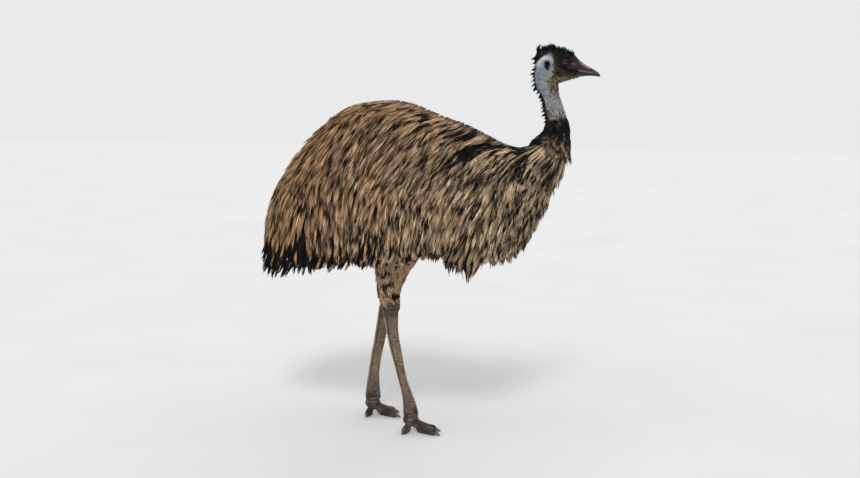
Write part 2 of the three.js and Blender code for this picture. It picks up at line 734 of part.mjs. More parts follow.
for (const [name, side] of Object.entries(sides)) {
  const leg = legs[name];
  const foot = { x: leg.ball[0], y: side * leg.ball[1] };
  const shankAt = (rows, share) => limbSection(rows, share, side);
  const shank = loft(limbSections(leg.shank, side, 11), 10);
  const plates = Array.from({ length: shankScutes }, (_, k) => {
    const height = creaseAt + 8 + k * scuteRise;
    const shareFor = shares(200).find((share) => along(leg.shank, share)[2] <= height);
    const spot = onSections(leg.shank, shareFor, 0, shankAt);
    return scute(spot, point(0, 0, -1), lerp(36, 24, k / shankScutes), scuteRise - 1.5);
  });
  node(`thigh_${name}`, "plumage", beyond(thigh(name), thighFoot));
  node(`tarsus_${name}`, "legSkin", between(join([shank, ...plates]), crease, thighFoot));

  const ball = (grow) => {
    const shape = new THREE.SphereGeometry(1, 10, 6);
    shape.scale(31 + grow, 30 + grow, 24 + grow);
    shape.translate(foot.x, foot.y, 44);
    return solidOf(shape);
  };
  node(`foot_${name}`, "legSkin", behind(join([ball(0), shank]), crease));

  // The toes meet on the planes that halve the angles between them.
  const room = join([ball(gap), loft(limbSections(leg.shank.slice(-3), side, 3, gap), 10)]);
  const fan = Object.entries(leg.toes).sort((a, b) => a[1][0] - b[1][0]);
  fan.forEach(([toe, shape], k) => {
    const [bearing, length, width] = shape;
    const count = Math.round(length / 30);
    const scutes = shares(count).map((share) => {
      const at = lerp(0.42, 0.9, share);
      const row = shares(60).find((step) => along(toeRows, step)[0] >= at);
      const [run, ...form] = along(toeRows, row);
      const section = toeSection(foot, shape, run * length, ...form);
      const way = point(Math.cos(degToRad(bearing)), Math.sin(degToRad(bearing)), -0.25).normalize();
      const out = point(0, 0, 1).addScaledVector(way, -way.z).normalize();
      const spot = { at: section.at.clone().add(section.up), out };
      return scute(spot, way, width * 0.72, ((0.48 * length) / count) * 0.86);
    });
    let body = join([toeBody(foot, shape), ...scutes]).subtract(room).subtract(clawBody(foot, shape, gap));
    for (const other of [fan[k - 1], fan[k + 1]]) {
      if (!other) continue;
      const middle = degToRad((bearing + other[1][0]) / 2);
      const normal = point(-Math.sin(middle), Math.cos(middle), 0);
      const plane = [normal.multiplyScalar(Math.sign(bearing - other[1][0])), point(foot.x, foot.y, 0)];
      body = beyond(body, plane);
    }
    node(`toe_${name}_${toe}`, "legSkin", body);
    node(`claw_${name}_${toe}`, "claw", clawBody(foot, shape));
  });
}

export default bird;
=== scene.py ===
# An emu standing in mid-stride, life size: skin, bill, eyes, claws, scutes and a coat of long loose feathers.
# Tables are in millimetres with x = 0 over the hips, as the solids are drawn; meshes are in metres.
import math
import bmesh
import bpy
import numpy as np
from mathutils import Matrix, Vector


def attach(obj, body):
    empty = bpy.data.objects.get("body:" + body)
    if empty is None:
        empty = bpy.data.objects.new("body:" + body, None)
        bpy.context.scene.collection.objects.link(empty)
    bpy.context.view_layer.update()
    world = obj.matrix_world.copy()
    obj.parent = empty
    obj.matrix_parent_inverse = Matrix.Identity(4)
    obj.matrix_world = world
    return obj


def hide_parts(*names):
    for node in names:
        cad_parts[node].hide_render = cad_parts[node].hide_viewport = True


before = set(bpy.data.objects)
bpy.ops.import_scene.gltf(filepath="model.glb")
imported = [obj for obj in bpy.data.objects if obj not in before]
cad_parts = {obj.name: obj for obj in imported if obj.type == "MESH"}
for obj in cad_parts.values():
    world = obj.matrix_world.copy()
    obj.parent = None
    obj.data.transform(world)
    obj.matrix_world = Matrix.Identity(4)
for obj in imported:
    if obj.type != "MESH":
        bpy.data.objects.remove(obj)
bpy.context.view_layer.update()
drawShift = np.array([37.0, 0.0, 0.0])
both = (("right", -1), ("left", 1))
print("frame loaded")

# ---- camera, light and sky

view = {"eye": (1.3596, -4.0705, 1.325), "aim": (0.037, 0.0, 0.744), "fov": 42.14}
lightsAim = (0, 0, 0.8)
lights = [
    # name, place, how wide it is in degrees, strength, colour
    ("keySoft", (0.9, -3.4, 4.4), 16, 1.35, (1.0, 0.99, 0.97)),
    ("fillSoft", (-3.6, -2.6, 2.6), 50, 0.25, (0.97, 0.98, 1.0)),
    ("backSoft", (-0.8, 3.6, 3.4), 50, 0.35, (1.0, 0.99, 0.98)),
]
sky = {"Color": (0.95, 0.955, 0.965, 1), "Strength": 0.86}


def aimed(thing, place, target):
    thing.location = place
    way = Vector(target) - Vector(place)
    thing.rotation_euler = way.to_track_quat("-Z", "Y").to_euler()
    bpy.context.scene.collection.objects.link(thing)
    return thing


camera = bpy.data.cameras.new("camera")
camera.sensor_fit = "HORIZONTAL"
camera.angle = math.radians(view["fov"])
camera.clip_end = 60
bpy.context.scene.camera = aimed(bpy.data.objects.new("camera", camera), view["eye"], view["aim"])
for name, place, wide, strength, colour in lights:
    lamp = bpy.data.lights.new(name, "SUN")
    lamp.angle = math.radians(wide)
    lamp.energy = strength
    lamp.color = colour
    aimed(bpy.data.objects.new(name, lamp), place, lightsAim)
world = bpy.data.worlds.new("studio")
world.use_nodes = True
for socket, value in sky.items():
    world.node_tree.nodes["Background"].inputs[socket].default_value = value
bpy.context.scene.world = world
bpy.context.scene.view_settings.view_transform = "Standard"


# ---- materials

def srgb(red, green, blue):
    # A colour given as 0 to 255 for the screen, as the linear value that the shaders take.
    value = np.array([red, green, blue]) / 255.0
    return np.where(value <= 0.04045, value / 12.92, ((value + 0.055) / 1.055) ** 2.4)


class Finish:
    # A material under way: its nodes are added by name and linked as they come.
    def __init__(self, name, **sockets):
        self.material = bpy.data.materials.new(name)
        self.material.use_nodes = True
        self.tree = self.material.node_tree
        self.shader = self.tree.nodes["Principled BSDF"]
        for socket, value in sockets.items():
            self.shader.inputs[socket.replace("_", " ")].default_value = value
        self.place = self.add("ShaderNodeTexCoord").outputs["Object"]

    def add(self, kind, links=None, **values):
        node = self.tree.nodes.new(kind)
        for key, value in values.items():
            setattr(node, key, value)
        for socket, value in (links or {}).items():
            if isinstance(value, bpy.types.NodeSocket):
                self.tree.links.new(value, node.inputs[socket])
            else:
                node.inputs[socket].default_value = value
        return node

    def noise(self, scale, detail=3, place=None, rough=0.55):
        links = {"Vector": place or self.place, "Scale": scale, "Detail": detail, "Roughness": rough}
        return self.add("ShaderNodeTexNoise", links).outputs["Fac"]

    def stretch(self, scale):
        links = {"Vector": self.place, "Scale": scale}
        return self.add("ShaderNodeMapping", links).outputs["Vector"]

    def tones(self, amount, stops):
        ramp = self.add("ShaderNodeValToRGB", {"Fac": amount})
        bands = ramp.color_ramp.elements
        while len(bands) < len(stops):
            bands.new(0.5)
        for band, (spot, colour) in zip(bands, stops):
            band.position = spot
            band.color = (*colour, 1)
        return ramp.outputs["Color"]

    def greys(self, amount, *stops):
        return self.tones(amount, [(spot, (value,) * 3) for spot, value in stops])

    def math(self, way, one, two=0.0):
        return self.add("ShaderNodeMath", {0: one, 1: two}, operation=way).outputs["Value"]

    def mix(self, way, amount, one, two):
        node = self.add("ShaderNodeMix", data_type="RGBA", blend_type=way)
        for socket, value in ((0, amount), (6, one), (7, two)):
            if isinstance(value, bpy.types.NodeSocket):
                self.tree.links.new(value, node.inputs[socket])
            else:
                node.inputs[socket].default_value = value
        return node.outputs[2]

    def bump(self, height, depth, strength=1.0):
        links = {"Height": height, "Distance": depth, "Strength": strength}
        node = self.add("ShaderNodeBump", links)
        self.tree.links.new(node.outputs["Normal"], self.shader.inputs["Normal"])

    def paint(self, colour, rough=None):
        self.tree.links.new(colour, self.shader.inputs["Base Color"])
        if rough is not None:
            self.tree.links.new(rough, self.shader.inputs["Roughness"])
        return self.material


def tinted(name, grain, contrast, bumps=None, net=None, **sockets):
    # Takes its colour from the mesh's own tint, broken up by a fine grain.
    made = Finish(name, **sockets)
    tint = made.add("ShaderNodeAttribute", attribute_name="tint").outputs["Color"]
    shade = made.greys(made.noise(grain), (0.3, 1 - contrast), (0.7, 1 + contrast))
    if bumps:
        made.bump(bumps(made), 1.0)
    if net:
        shade = made.mix("MULTIPLY", 1.0, shade, net(made))
    return made.paint(made.mix("MULTIPLY", 1.0, tint, shade))


# how many of each there are to a metre, and how deep each is in metres
grains = {"pores": 900, "folds": 130, "scales": 150.0, "lumps": 60}
depths = {"pores": 0.0005, "folds": 0.0022, "scales": 0.0012, "lumps": 0.0022}


def neckSkinBump(made):
    pores = made.noise(grains["pores"], 2)
    folds = made.noise(grains["folds"], 4, made.stretch((1, 1, 2.4)))
    deepPores = made.math("MULTIPLY", pores, depths["pores"])
    return made.math("ADD", deepPores, made.math("MULTIPLY", folds, depths["folds"]))


def scaleCells(made, **values):
    links = {"Vector": made.place, "Scale": grains["scales"], "Randomness": 0.8}
    return made.add("ShaderNodeTexVoronoi", links, **values).outputs


def scaleEdges(made):
    return scaleCells(made, feature="DISTANCE_TO_EDGE")["Distance"]


def scaleBump(made):
    # Each scale rises steeply from its edge.
    links = {0: scaleEdges(made), 1: 0.0, 2: 0.12, 3: 0.0, 4: depths["scales"]}
    edge = made.add("ShaderNodeMapRange", links).outputs[0]
    return made.math("ADD", edge, made.math("MULTIPLY", made.noise(grains["lumps"], 4), depths["lumps"]))


def scaleNet(made):
    # Darker lines between the scales, and some scales lighter than others.
    lines = made.greys(scaleEdges(made), (0.0, 0.32), (0.16, 1.0))
    spots = made.add("ShaderNodeSeparateColor", {"Color": scaleCells(made)["Color"]}).outputs["Red"]
    return made.mix("MULTIPLY", 1.0, lines, made.greys(spots, (0.2, 0.78), (0.9, 1.35)))


materials = {
    "feather": tinted("featherBrown", 260.0, 0.22, Roughness=0.66, Specular_IOR_Level=0.18),
    "bristle": tinted("bristleBlack", 400.0, 0.2, Roughness=0.6, Specular_IOR_Level=0.12),
    # the body under the coat, painted dark as the shade in the gaps between the feathers
    "hide": tinted("underCoatPaintedShade", 40.0, 0.25, Roughness=0.85),
    "neck": tinted("bareNeckSkin", 190.0, 0.16, neckSkinBump, Roughness=0.62, Specular_IOR_Level=0.18),
    "leg": tinted("scalyLegSkin", 150.0, 0.2, scaleBump, scaleNet, Roughness=0.55, Specular_IOR_Level=0.4),
}


# ---- curves through tables

def spread(share, rows):
    return np.asarray(share, float).reshape(np.shape(share) + (1,) * (rows.ndim - 1))


def passing(a, b, c, d, f):
    return b + 0.5 * f * (c - a + f * (2 * a - 5 * b + 4 * c - d + f * (3 * b - a - 3 * c + d)))


def along(rows, share):
    # A smooth value of each column of a table: share runs from 0 at the first row to 1 at the last.
    rows = np.asarray(rows, float)
    last = len(rows) - 1
    spot = np.clip(share, 0, 1) * last
    first = np.minimum(np.floor(spot).astype(int), last - 1)
    near = [rows[np.clip(first + k, 0, last)] for k in (-1, 0, 1, 2)]
    return passing(*near, spread(spot - first, rows))


def unit(way):
    return way / np.maximum(np.linalg.norm(way, axis=-1, keepdims=True), 1e-9)


def smooth(low, high, value):
    f = np.clip((value - low) / (high - low), 0, 1)
    return f * f * (3 - 2 * f)


def mixed(one, two, share):
    return one + (two - one) * share


def tinged(colour, tone, share):
    # A colour for each place, moved towards a tone by a share of its own.
    return mixed(colour, tone, share[:, None])


def bell(value, wide):
    # 1 where the value is 0, falling off over that width to both sides.
    return np.exp(-(value / wide) ** 2)


def hump(across, up, spot):
    # The same for a round spot, given as its place across and up, its half width and its half height.
    atAcross, atUp, wide, tall = spot
    return np.exp(-((across - atAcross) / wide) ** 2 - ((up - atUp) / tall) ** 2)


def blotch(places, size, seed=0):
    # Smooth noise from 0 to 1 with blotches of about that size.
    spot = np.asarray(places) / size
    base = np.floor(spot).astype(np.int64)
    f = spot - base
    f = f * f * (3 - 2 * f)
    total = 0
    for corner in np.ndindex(2, 2, 2):
        key = base + corner
        mash = key[..., 0] * 73856093 ^ key[..., 1] * 19349663 ^ key[..., 2] * 83492791
        mash = mash ^ (seed + 7) * 2654435761
        mash = (mash ^ (mash >> 13)) * 1274126177 & 0xFFFFFFFF
        mash = (mash ^ (mash >> 15)) & 0xFFFFFF
        weight = np.prod(np.where(corner, f, 1 - f), axis=-1)
        total = total + weight * mash / 0xFFFFFF
    return total


def inMetres(places):
    return (np.asarray(places) + drawShift) / 1000


# ---- the forms that skin and coat share

flowLines = np.array([
    [[542, 0, 1075], [492, 0, 980], [440, 0, 848], [335, 0, 690]],
    [[515, 48, 1085], [455, 110, 985], [400, 135, 850], [300, 125, 680]],
    [[450, 52, 1130], [395, 135, 1045], [330, 190, 885], [245, 178, 680]],
    [[350, 8, 1110], [290, 130, 1062], [200, 205, 890], [140, 200, 685]],
    [[235, 4, 1148], [150, 140, 1092], [50, 222, 905], [10, 215, 682]],
    [[80, 4, 1212], [0, 146, 1152], [-115, 230, 935], [-150, 218, 665]],
    [[-90, 4, 1277], [-200, 142, 1202], [-300, 226, 955], [-345, 212, 645]],
    [[-240, 4, 1278], [-365, 122, 1182], [-490, 196, 935], [-530, 180, 628]],
    [[-340, 4, 1255], [-490, 72, 1118], [-615, 125, 885], [-655, 112, 622]],
    [[-415, 0, 1208], [-555, 0, 1068], [-668, 0, 880], [-708, 0, 655]],
], float)
hemFall = np.array([-40.0, 0, -600])


def mantleSpot(around, down, side):
    # The coat's outer surface: around runs from breast (0) to tail (1), down from ridge (0) to hem (1).
    other = np.where((around < 0) | (around > 1), -1.0, 1.0)
    folded = np.where(around < 0, -around, np.where(around > 1, 2 - around, around))
    line = along(flowLines, folded)
    spot = np.clip(down, 0, 1) * 3
    first = np.minimum(np.floor(spot).astype(int), 2)
    rows = np.arange(len(line))
    near = [line[rows, np.clip(first + k, 0, 3)] for k in (-1, 0, 1, 2)]
    place = passing(*near, (spot - first)[:, None])
    place[:, 1] *= side * other
    return place + hemFall * np.maximum(0, down - 1)[:, None]


def mantle(around, down, side):
    # A point of the coat's surface, its outward way and how it changes downwards.
    small = 0.01
    across = mantleSpot(around + small, down, side) - mantleSpot(around - small, down, side)
    low = np.clip(down, 0.02, 0.98)
    drop = mantleSpot(around, low + small, side) - mantleSpot(around, low - small, side)
    out = unit(np.cross(drop, across)) * np.reshape(side, (-1, 1))
    return mantleSpot(around, down, side), out, drop / (2 * small)


coreStations = [
    # x, top, bottom, half width
    (-652, 822, 800, 8), (-630, 892, 742, 54), (-560, 1008, 702, 108), (-455, 1136, 692, 150),
    (-330, 1218, 698, 173), (-190, 1243, 710, 184), (-50, 1226, 724, 186), (80, 1176, 730, 182),
    (200, 1124, 732, 166), (300, 1088, 748, 140), (378, 1078, 790, 107), (430, 1060, 855, 78),
    (464, 1015, 915, 42), (478, 975, 945, 12),
]
neckStations = [
    # x, z, half depth, half width, lean
    (400, 1010, 84, 60, 0.5), (440, 1060, 74, 52, 0.42), (470, 1110, 60, 45, 0.3),
    (487, 1160, 44, 39, 0.12), (489, 1205, 37, 35, -0.1), (478, 1250, 35, 33, -0.3),
    (465, 1295, 33, 32, -0.25), (452, 1328, 42, 34, -0.1), (449, 1360, 46, 37, 0),
    (447, 1385, 42, 38, 0), (447, 1412, 32, 34, 0),
]
ruffStations = [
    # as for the neck, from the top of the ruff downwards
    (483, 1234, 37, 36, -0.2), (490, 1190, 47, 43, 0), (486, 1155, 55, 50, 0.1),
    (468, 1105, 79, 64, 0.28), (460, 1045, 94, 80, 0.42),
]
skullRows = [
    # x, top, bottom, half width, in the head's own frame
    (-47, 20, -6, 9), (-42, 36, -24, 24), (-28, 50, -42, 34), (-6, 58, -56, 39), (18, 61, -63, 41.5),
    (42, 56, -66, 41.5), (62, 50, -62, 40), (80, 42, -56, 36), (96, 31, -51, 31), (112, 18, -48, 26.5),
]
billRows = [
    # as for the skull
    (84, 40, -53, 34), (100, 28, -50, 29.5), (116, 14.5, -47, 26), (132, 2, -44.5, 23.5),
    (150, -9.5, -43.2, 20), (166, -18, -43.5, 16), (180, -26.5, -45, 10.5), (188, -33.5, -46, 6),
    (192, -40, -44.5, 2),
]
legs = {
    # thigh and shank: x, y, z, half depth, half width; toes: bearing in degrees, length, width
    "right": {
        "thigh": [(-92, 88, 762, 92, 62), (-106, 88, 705, 86, 60), (-122, 87, 630, 70, 56),
                  (-137, 86, 560, 49, 45), (-137, 85, 512, 41, 36), (-133, 85, 480, 37, 31)],
        "shank": [(-137, 85, 530, 36, 30), (-133, 85, 488, 39, 32), (-132, 85, 455, 31, 27),
                  (-127, 85, 395, 25, 23), (-112, 85, 312, 21.5, 21), (-98, 85, 255, 18, 19.5),
                  (-86, 86, 205, 17, 19.5), (-70, 86, 155, 19, 21.5), (-56, 87, 105, 25, 26),
                  (-50, 87, 62, 30, 30)],
        "ball": (-50, 87),
        "toes": {"inner": (6, 100, 24), "middle": (-17, 116, 27), "outer": (-101, 62, 21)},
    },
    "left": {
        "thigh": [(-96, 88, 762, 92, 62), (-124, 88, 705, 86, 60), (-160, 87, 630, 70, 56),
                  (-190, 86, 560, 49, 45), (-206, 85, 512, 41, 36), (-212, 85, 480, 37, 31)],
        "shank": [(-193, 85, 530, 29, 28), (-204, 85, 488, 32, 30), (-215, 85, 455, 27, 25),
                  (-228, 85, 395, 24, 22), (-243, 85, 312, 23, 21.5), (-256, 85, 255, 22, 20),
                  (-265, 86, 205, 22, 20), (-272, 86, 155, 23, 22), (-275, 87, 105, 27, 26),
                  (-275, 87, 62, 31, 30)],
        "ball": (-275, 87),
        "toes": {"inner": (-93, 62, 21), "middle": (-15, 116, 27), "outer": (18, 92, 23)},
    },
}
head = {"at": np.array([455.0, 0, 1410]), "turn": math.radians(18)}
headAxes = np.array([
    [math.cos(head["turn"]), math.sin(head["turn"]), 0],
    [-math.sin(head["turn"]), math.cos(head["turn"]), 0],
    [0, 0, 1],
])


def fromHead(places):
    return np.asarray(places, float) @ headAxes + head["at"]


def toHead(places):
    return (np.asarray(places, float) - head["at"]) @ headAxes.T


# A section is its middle, its side way and its up way, each for an array of shares.
def coreSection(share):
    x, top, bottom, half = along(coreStations, share).T
    still = np.zeros_like(x)
    middle = np.stack([x, still, (top + bottom) / 2], -1)
    return middle, np.stack([still, half, still], -1), np.stack([still, still, (top - bottom) / 2], -1)


def neckSection(rows, share):
    x, z, deep, half, lean = along(rows, share).T
    still = np.zeros_like(x)
    ahead = np.stack([np.cos(lean), still, -np.sin(lean)], -1)
    return np.stack([x, still, z], -1), np.stack([still, half, still], -1), ahead * deep[:, None]


def limbSection(rows, share, side):
    x, y, z, deep, half = along(rows, share).T
    still = np.zeros_like(x)
    middle = np.stack([x, side * y, z], -1)
    return middle, np.stack([still, half, still], -1), np.stack([deep, still, still], -1)


def skullSection(rows, share):
    x, top, bottom, half = along(rows, share).T
    still = np.zeros_like(x)
    middle = fromHead(np.stack([x, still, (top + bottom) / 2], -1))
    across = np.stack([still, half, still], -1) @ headAxes
    return middle, across, np.stack([still, still, (top - bottom) / 2], -1)


toeRows = [
    # share of the length, top, sole, share of the half width
    (0, 62, 18, 0.9), (0.2, 56, 14, 0.9), (0.38, 46, -2.5, 0.95), (0.6, 35, -2.5, 0.9),
    (0.8, 30, -2, 0.85), (0.95, 26, -1.5, 0.72), (1, 19, 2, 0.5),
]
clawRows = [(-0.2, 19, 5, 0.3), (0, 19, 4, 0.36), (0.4, 17, 4, 0.32), (0.75, 12, 3, 0.22), (1, 5, 2.2, 0.06)]
claw = {"from": 0.93, "long": 0.26, "sides": 20, "rings": 26}
# a wider toe is also taller: its height is lowest + width / perHeight of the table's
toeForm = {"lowest": 0.55, "perHeight": 60, "half": 0.62, "thinnest": 0.9}


def footOf(leg, side):
    return leg["ball"][0], side * leg["ball"][1]


def toeSection(rows, share, foot, shape, start=0.0, scale=1.0):
    bearing, length, width = shape
    run, top, sole, wide = along(rows, share).T
    way = math.radians(bearing)
    crown = top * (toeForm["lowest"] + width / toeForm["perHeight"])
    reach = (start + run * scale) * length
    still = np.zeros_like(run)
    x, y = foot[0] + math.cos(way) * reach, foot[1] + math.sin(way) * reach
    middle = np.stack([x, y, (crown + sole) / 2], -1)
    across = np.array([-math.sin(way), math.cos(way), 0]) * (width * toeForm["half"] * wide)[:, None]
    return middle, across, np.stack([still, still, np.maximum((crown - sole) / 2, toeForm["thinnest"])], -1)


# ---- skin

def loftInto(form, sectionAt, sides, rings, grow=0.0, roundness=1.0, floor=None, span=(0.0, 1.0)):
    # A closed body through sections, from a grid rolled round them; roundness below 1 makes it boxier.
    shares = np.linspace(span[0], span[1], rings + 1)
    middle, across, up = sectionAt(shares)
    across = across + unit(across) * grow
    up = up + unit(up) * grow
    made = bmesh.ops.create_grid(form, x_segments=sides, y_segments=rings, size=1)["verts"]
    grid = np.array([corner.co[:2] for corner in made])
    angle = (grid[:, 0] + 1) * math.pi
    ring = np.rint((grid[:, 1] + 1) / 2 * rings).astype(int)
    sideways, upwards = (np.sign(part) * np.abs(part) ** roundness for part in (np.cos(angle), np.sin(angle)))
    spots = middle[ring] + across[ring] * sideways[:, None] + up[ring] * upwards[:, None]
    if floor is not None:
        spots[:, 2] = np.maximum(spots[:, 2], floor)
    for corner, spot in zip(made, inMetres(spots)):
        corner.co = spot
    bmesh.ops.remove_doubles(form, verts=made, dist=1e-6)
    edges = [edge for edge in form.edges if edge.is_boundary]
    bmesh.ops.holes_fill(form, edges=edges)
    return form


def formMesh(name, form):
    bmesh.ops.recalc_face_normals(form, faces=form.faces)
    mesh = bpy.data.meshes.new(name)
    form.to_mesh(mesh)
    form.free()
    return mesh


def objectOf(name, mesh):
    made = bpy.data.objects.new(name, mesh)
    bpy.context.scene.collection.objects.link(made)
    return made


def applied(thing, kind, **values):
    modifier = thing.modifiers.new(kind.lower(), kind)
    for key, value in values.items():
        setattr(modifier, key, value)
    bpy.context.view_layer.update()
    graph = bpy.context.evaluated_depsgraph_get()
    mesh = bpy.data.meshes.new_from_object(thing.evaluated_get(graph))
    thing.modifiers.clear()
    thing.data = mesh
    return mesh


def cornersOf(mesh):
    places = np.empty(len(mesh.vertices) * 3, np.float32)
    mesh.vertices.foreach_get("co", places)
    return places.reshape(-1, 3).astype(float) * 1000 - drawShift


def setCorners(mesh, places):
    mesh.vertices.foreach_set("co", inMetres(places).astype(np.float32).ravel())
    mesh.update()


def setTint(mesh, colours):
    layer = mesh.color_attributes.new("tint", "FLOAT_COLOR", "POINT")
    full = np.ones((len(colours), 4), np.float32)
    full[:, :3] = colours
    layer.data.foreach_set("color", full.ravel())


def setSmooth(mesh):
    mesh.polygons.foreach_set("use_smooth", np.ones(len(mesh.polygons), bool))
    mesh.update()


def ellipsoid(form, middle, size, detail=24):
    made = bmesh.ops.create_uvsphere(form, u_segments=detail, v_segments=detail // 2, radius=1)["verts"]
    for corner in made:
        corner.co = inMetres(np.array(middle) + np.array(corner.co) * np.array(size))
    return form


skin = {
    "headVoxel": 0.00135, "headSmooth": 6, "headTriangles": 98000, "ripple": 0.5, "neckFrom": 0.28,
    "legVoxel": 0.0021, "legSmooth": 3, "legTriangles": 84000, "thighInset": 13, "underCoat": 4,
    # sides and rings of the bodies under the skin
    "headGrid": (48, 44), "neckGrid": (40, 60), "coreGrid": (36, 40),
    "thighGrid": (28, 20), "shankGrid": (28, 60), "toeGrid": (24, 40),
}
eye = {
    "x": 57.0, "y": 28.5, "z": 6.0, "radius": 16.0, "inset": 2.6,
    "upper": 4.9, "lower": 8.2, "long": 12.8, "open": 0.94,
    "lidRise": 1.5, "rimIn": (0.92, 1.04), "rimOut": (1.32, 1.75),
    "crease": 1.62, "creaseWide": 0.12, "creaseDeep": 1.1,
}
ear = {"x": -4.0, "z": 0.0, "wide": 6.0, "tall": 8.5, "deep": 10, "rim": 2.3, "rimAt": 1.35, "rimWide": 0.35}
mouthLine = [(26, -8), (40, -13), (58, -19), (78, -25), (94, -27.5), (140, -34.8), (192, -43.1)]
mouth = {"fade": (24, 36), "deep": 2.1, "wide": 1.7, "lip": 0.8, "lipAbove": 4, "lipWide": 2.4}
headHills = [
    # how far it stands out, x, z, half width, half height: the brow, the cheek and the hollow before the eye
    (2.4, 60, 24, 22, 6), (2.0, 38, -34, 20, 12), (-2.2, 84, 8, 16, 9),
]


def mouthHeight(x):
    xs, zs = np.array(mouthLine, float).T
    return np.interp(x, xs, zs)


def earHole(x, z):
    # 1 at the edge of the ear's opening.
    return np.sqrt(((x - ear["x"]) / ear["wide"]) ** 2 + ((z - ear["z"]) / ear["tall"]) ** 2)


def earDown(x, z):
    # 1 at the edge of the short down round the ear.
    return np.hypot((x - ear["x"] + 4) / 11, (z - ear["z"] + 5) / 19)


def sculptHead(places):
    # Sockets, lids, ears, brow and the folds of the mouth, in the head's own frame.
    spots = toHead(places)
    x, y, z = spots.T
    near = (x > -50) & (x < 130) & (z > -75)
    side = np.sign(y)
    wide = np.abs(y)
    for rise, *spot in headHills:
        wide = wide + rise * near * hump(x, z, spot)
    gap = z - mouthHeight(x)
    fade = smooth(*mouth["fade"], x) * near
    lip = mouth["lip"] * fade * bell(gap - mouth["lipAbove"], mouth["lipWide"])
    wide = wide - mouth["deep"] * fade * bell(gap, mouth["wide"]) + lip
    # lids round the eye: 1 is the edge of its opening
    dx, dz = x - eye["x"], z - eye["z"]
    tilt = dz + 0.1 * dx
    tall = np.where(tilt > 0, eye["upper"], eye["lower"])
    around = np.sqrt((dx / eye["long"]) ** 2 + (tilt / tall) ** 2)
    aside = dx ** 2 + dz ** 2
    ball = eye["y"] + np.sqrt(np.maximum(eye["radius"] ** 2 - aside, 0))
    lid = eye["y"] + np.sqrt(np.maximum((eye["radius"] + eye["lidRise"]) ** 2 - aside, 0))
    here = near & (wide > 22)
    inside = here & (around < eye["open"])
    wide = np.where(inside, ball - eye["inset"], wide)
    rim = smooth(*eye["rimIn"], around) * (1 - smooth(*eye["rimOut"], around))
    wide = np.where(here & ~inside, np.maximum(wide, mixed(wide, lid, rim)), wide)
    wide = wide - eye["creaseDeep"] * here * bell(around - eye["crease"], eye["creaseWide"])
    # ear openings with a raised rim
    hole = earHole(x, z)
    wide = wide - ear["deep"] * near * (1 - smooth(0.2, 1.0, hole)) * (wide > 18)
    wide = wide + ear["rim"] * near * bell(hole - ear["rimAt"], ear["rimWide"]) * (wide > 18)
    # loose skin of the throat and nape
    ripple = np.sin(z / 3.1 + 0.05 * x + 2.4 * blotch(spots, 22, 5))
    wide = wide + skin["ripple"] * ripple * smooth(-30, -60, z)
    return fromHead(np.stack([x, side * wide, z], -1))


def neckPlace(places):
    # How far ahead of the neck's middle a point is, from the nape (-1) to the throat (1), and how far aside.
    x, y, z = places.T
    share = np.interp(z, [row[1] for row in neckStations], np.linspace(0, 1, len(neckStations)))
    middle, half, deep = neckSection(neckStations, share)
    ahead = (x - middle[:, 0]) / np.linalg.norm(deep, axis=1)
    return np.clip(ahead, -1, 1), np.abs(y) / np.linalg.norm(half, axis=1)


def crownHeight(x):
    # The height above which the head is black and bristly.
    return np.interp(x, [-60, -46, -38, -24, -6, 14, 40, 112], [-12, 4, 16, 28, 37, 39, 34, 26])


def faceEdge(z, start):
    # How far forward the dark face begins, at each height.
    return start + 6 * smooth(20, -30, z) - 12 * smooth(-36, -60, z)


def neckTint(places, x, z, speck, patch):
    # Blue-grey and freckled, tan on the throat's side and low down, with dark streaks in front.
    ahead, _ = neckPlace(places)
    bare = tinged(srgb(84, 96, 108), srgb(144, 150, 156), 0.45 * patch + 0.55 * smooth(0.2, 0.8, speck))
    freckle = smooth(0.58, 0.72, blotch(places, 5, 17)) * (0.3 + 0.7 * patch)
    bare = tinged(bare, srgb(132, 124, 108), 0.5 * freckle)
    tan = tinged(srgb(106, 96, 86), srgb(168, 154, 136), speck)
    tanShare = smooth(-0.1, 0.55, ahead + 0.7 * (patch - 0.5)) * smooth(-12, -34, z)
    tanShare = tanShare * mixed(1, 0.45, smooth(-95, -140, z))
    tanShare = np.maximum(tanShare, 0.8 * smooth(-110, -190, z) * smooth(0.3, 0.6, patch))
    bare = tinged(bare, tan, 0.85 * tanShare)
    streak = smooth(0.36, 0.52, blotch(places * np.array([1, 1, 0.5]), 2.6, 12)) * smooth(0.05, 0.45, ahead)
    bare = tinged(bare, srgb(36, 32, 30), 0.85 * (streak * smooth(-40, -56, z) * smooth(-150, -100, z)))
    # a pale arc bends over the ear from behind, and short dark down grows round the ear
    back = smooth(-8, -26, x)
    arc = bell(np.hypot(x - ear["x"] + 4, z - ear["z"] + 4) - 27, 9.0)
    arc = arc * smooth(-4 - 18 * back, 18 - 18 * back, z)
    bare = tinged(bare, srgb(176, 181, 190), np.clip(arc * (0.45 + 0.7 * patch), 0, 1))
    fluff = tinged(srgb(26, 23, 22), srgb(100, 90, 80), smooth(0.5, 0.8, patch))
    return tinged(bare, fluff, 0.9 * (1 - smooth(0.65, 1.05, earDown(x, z) + 0.7 * (speck - 0.5))))


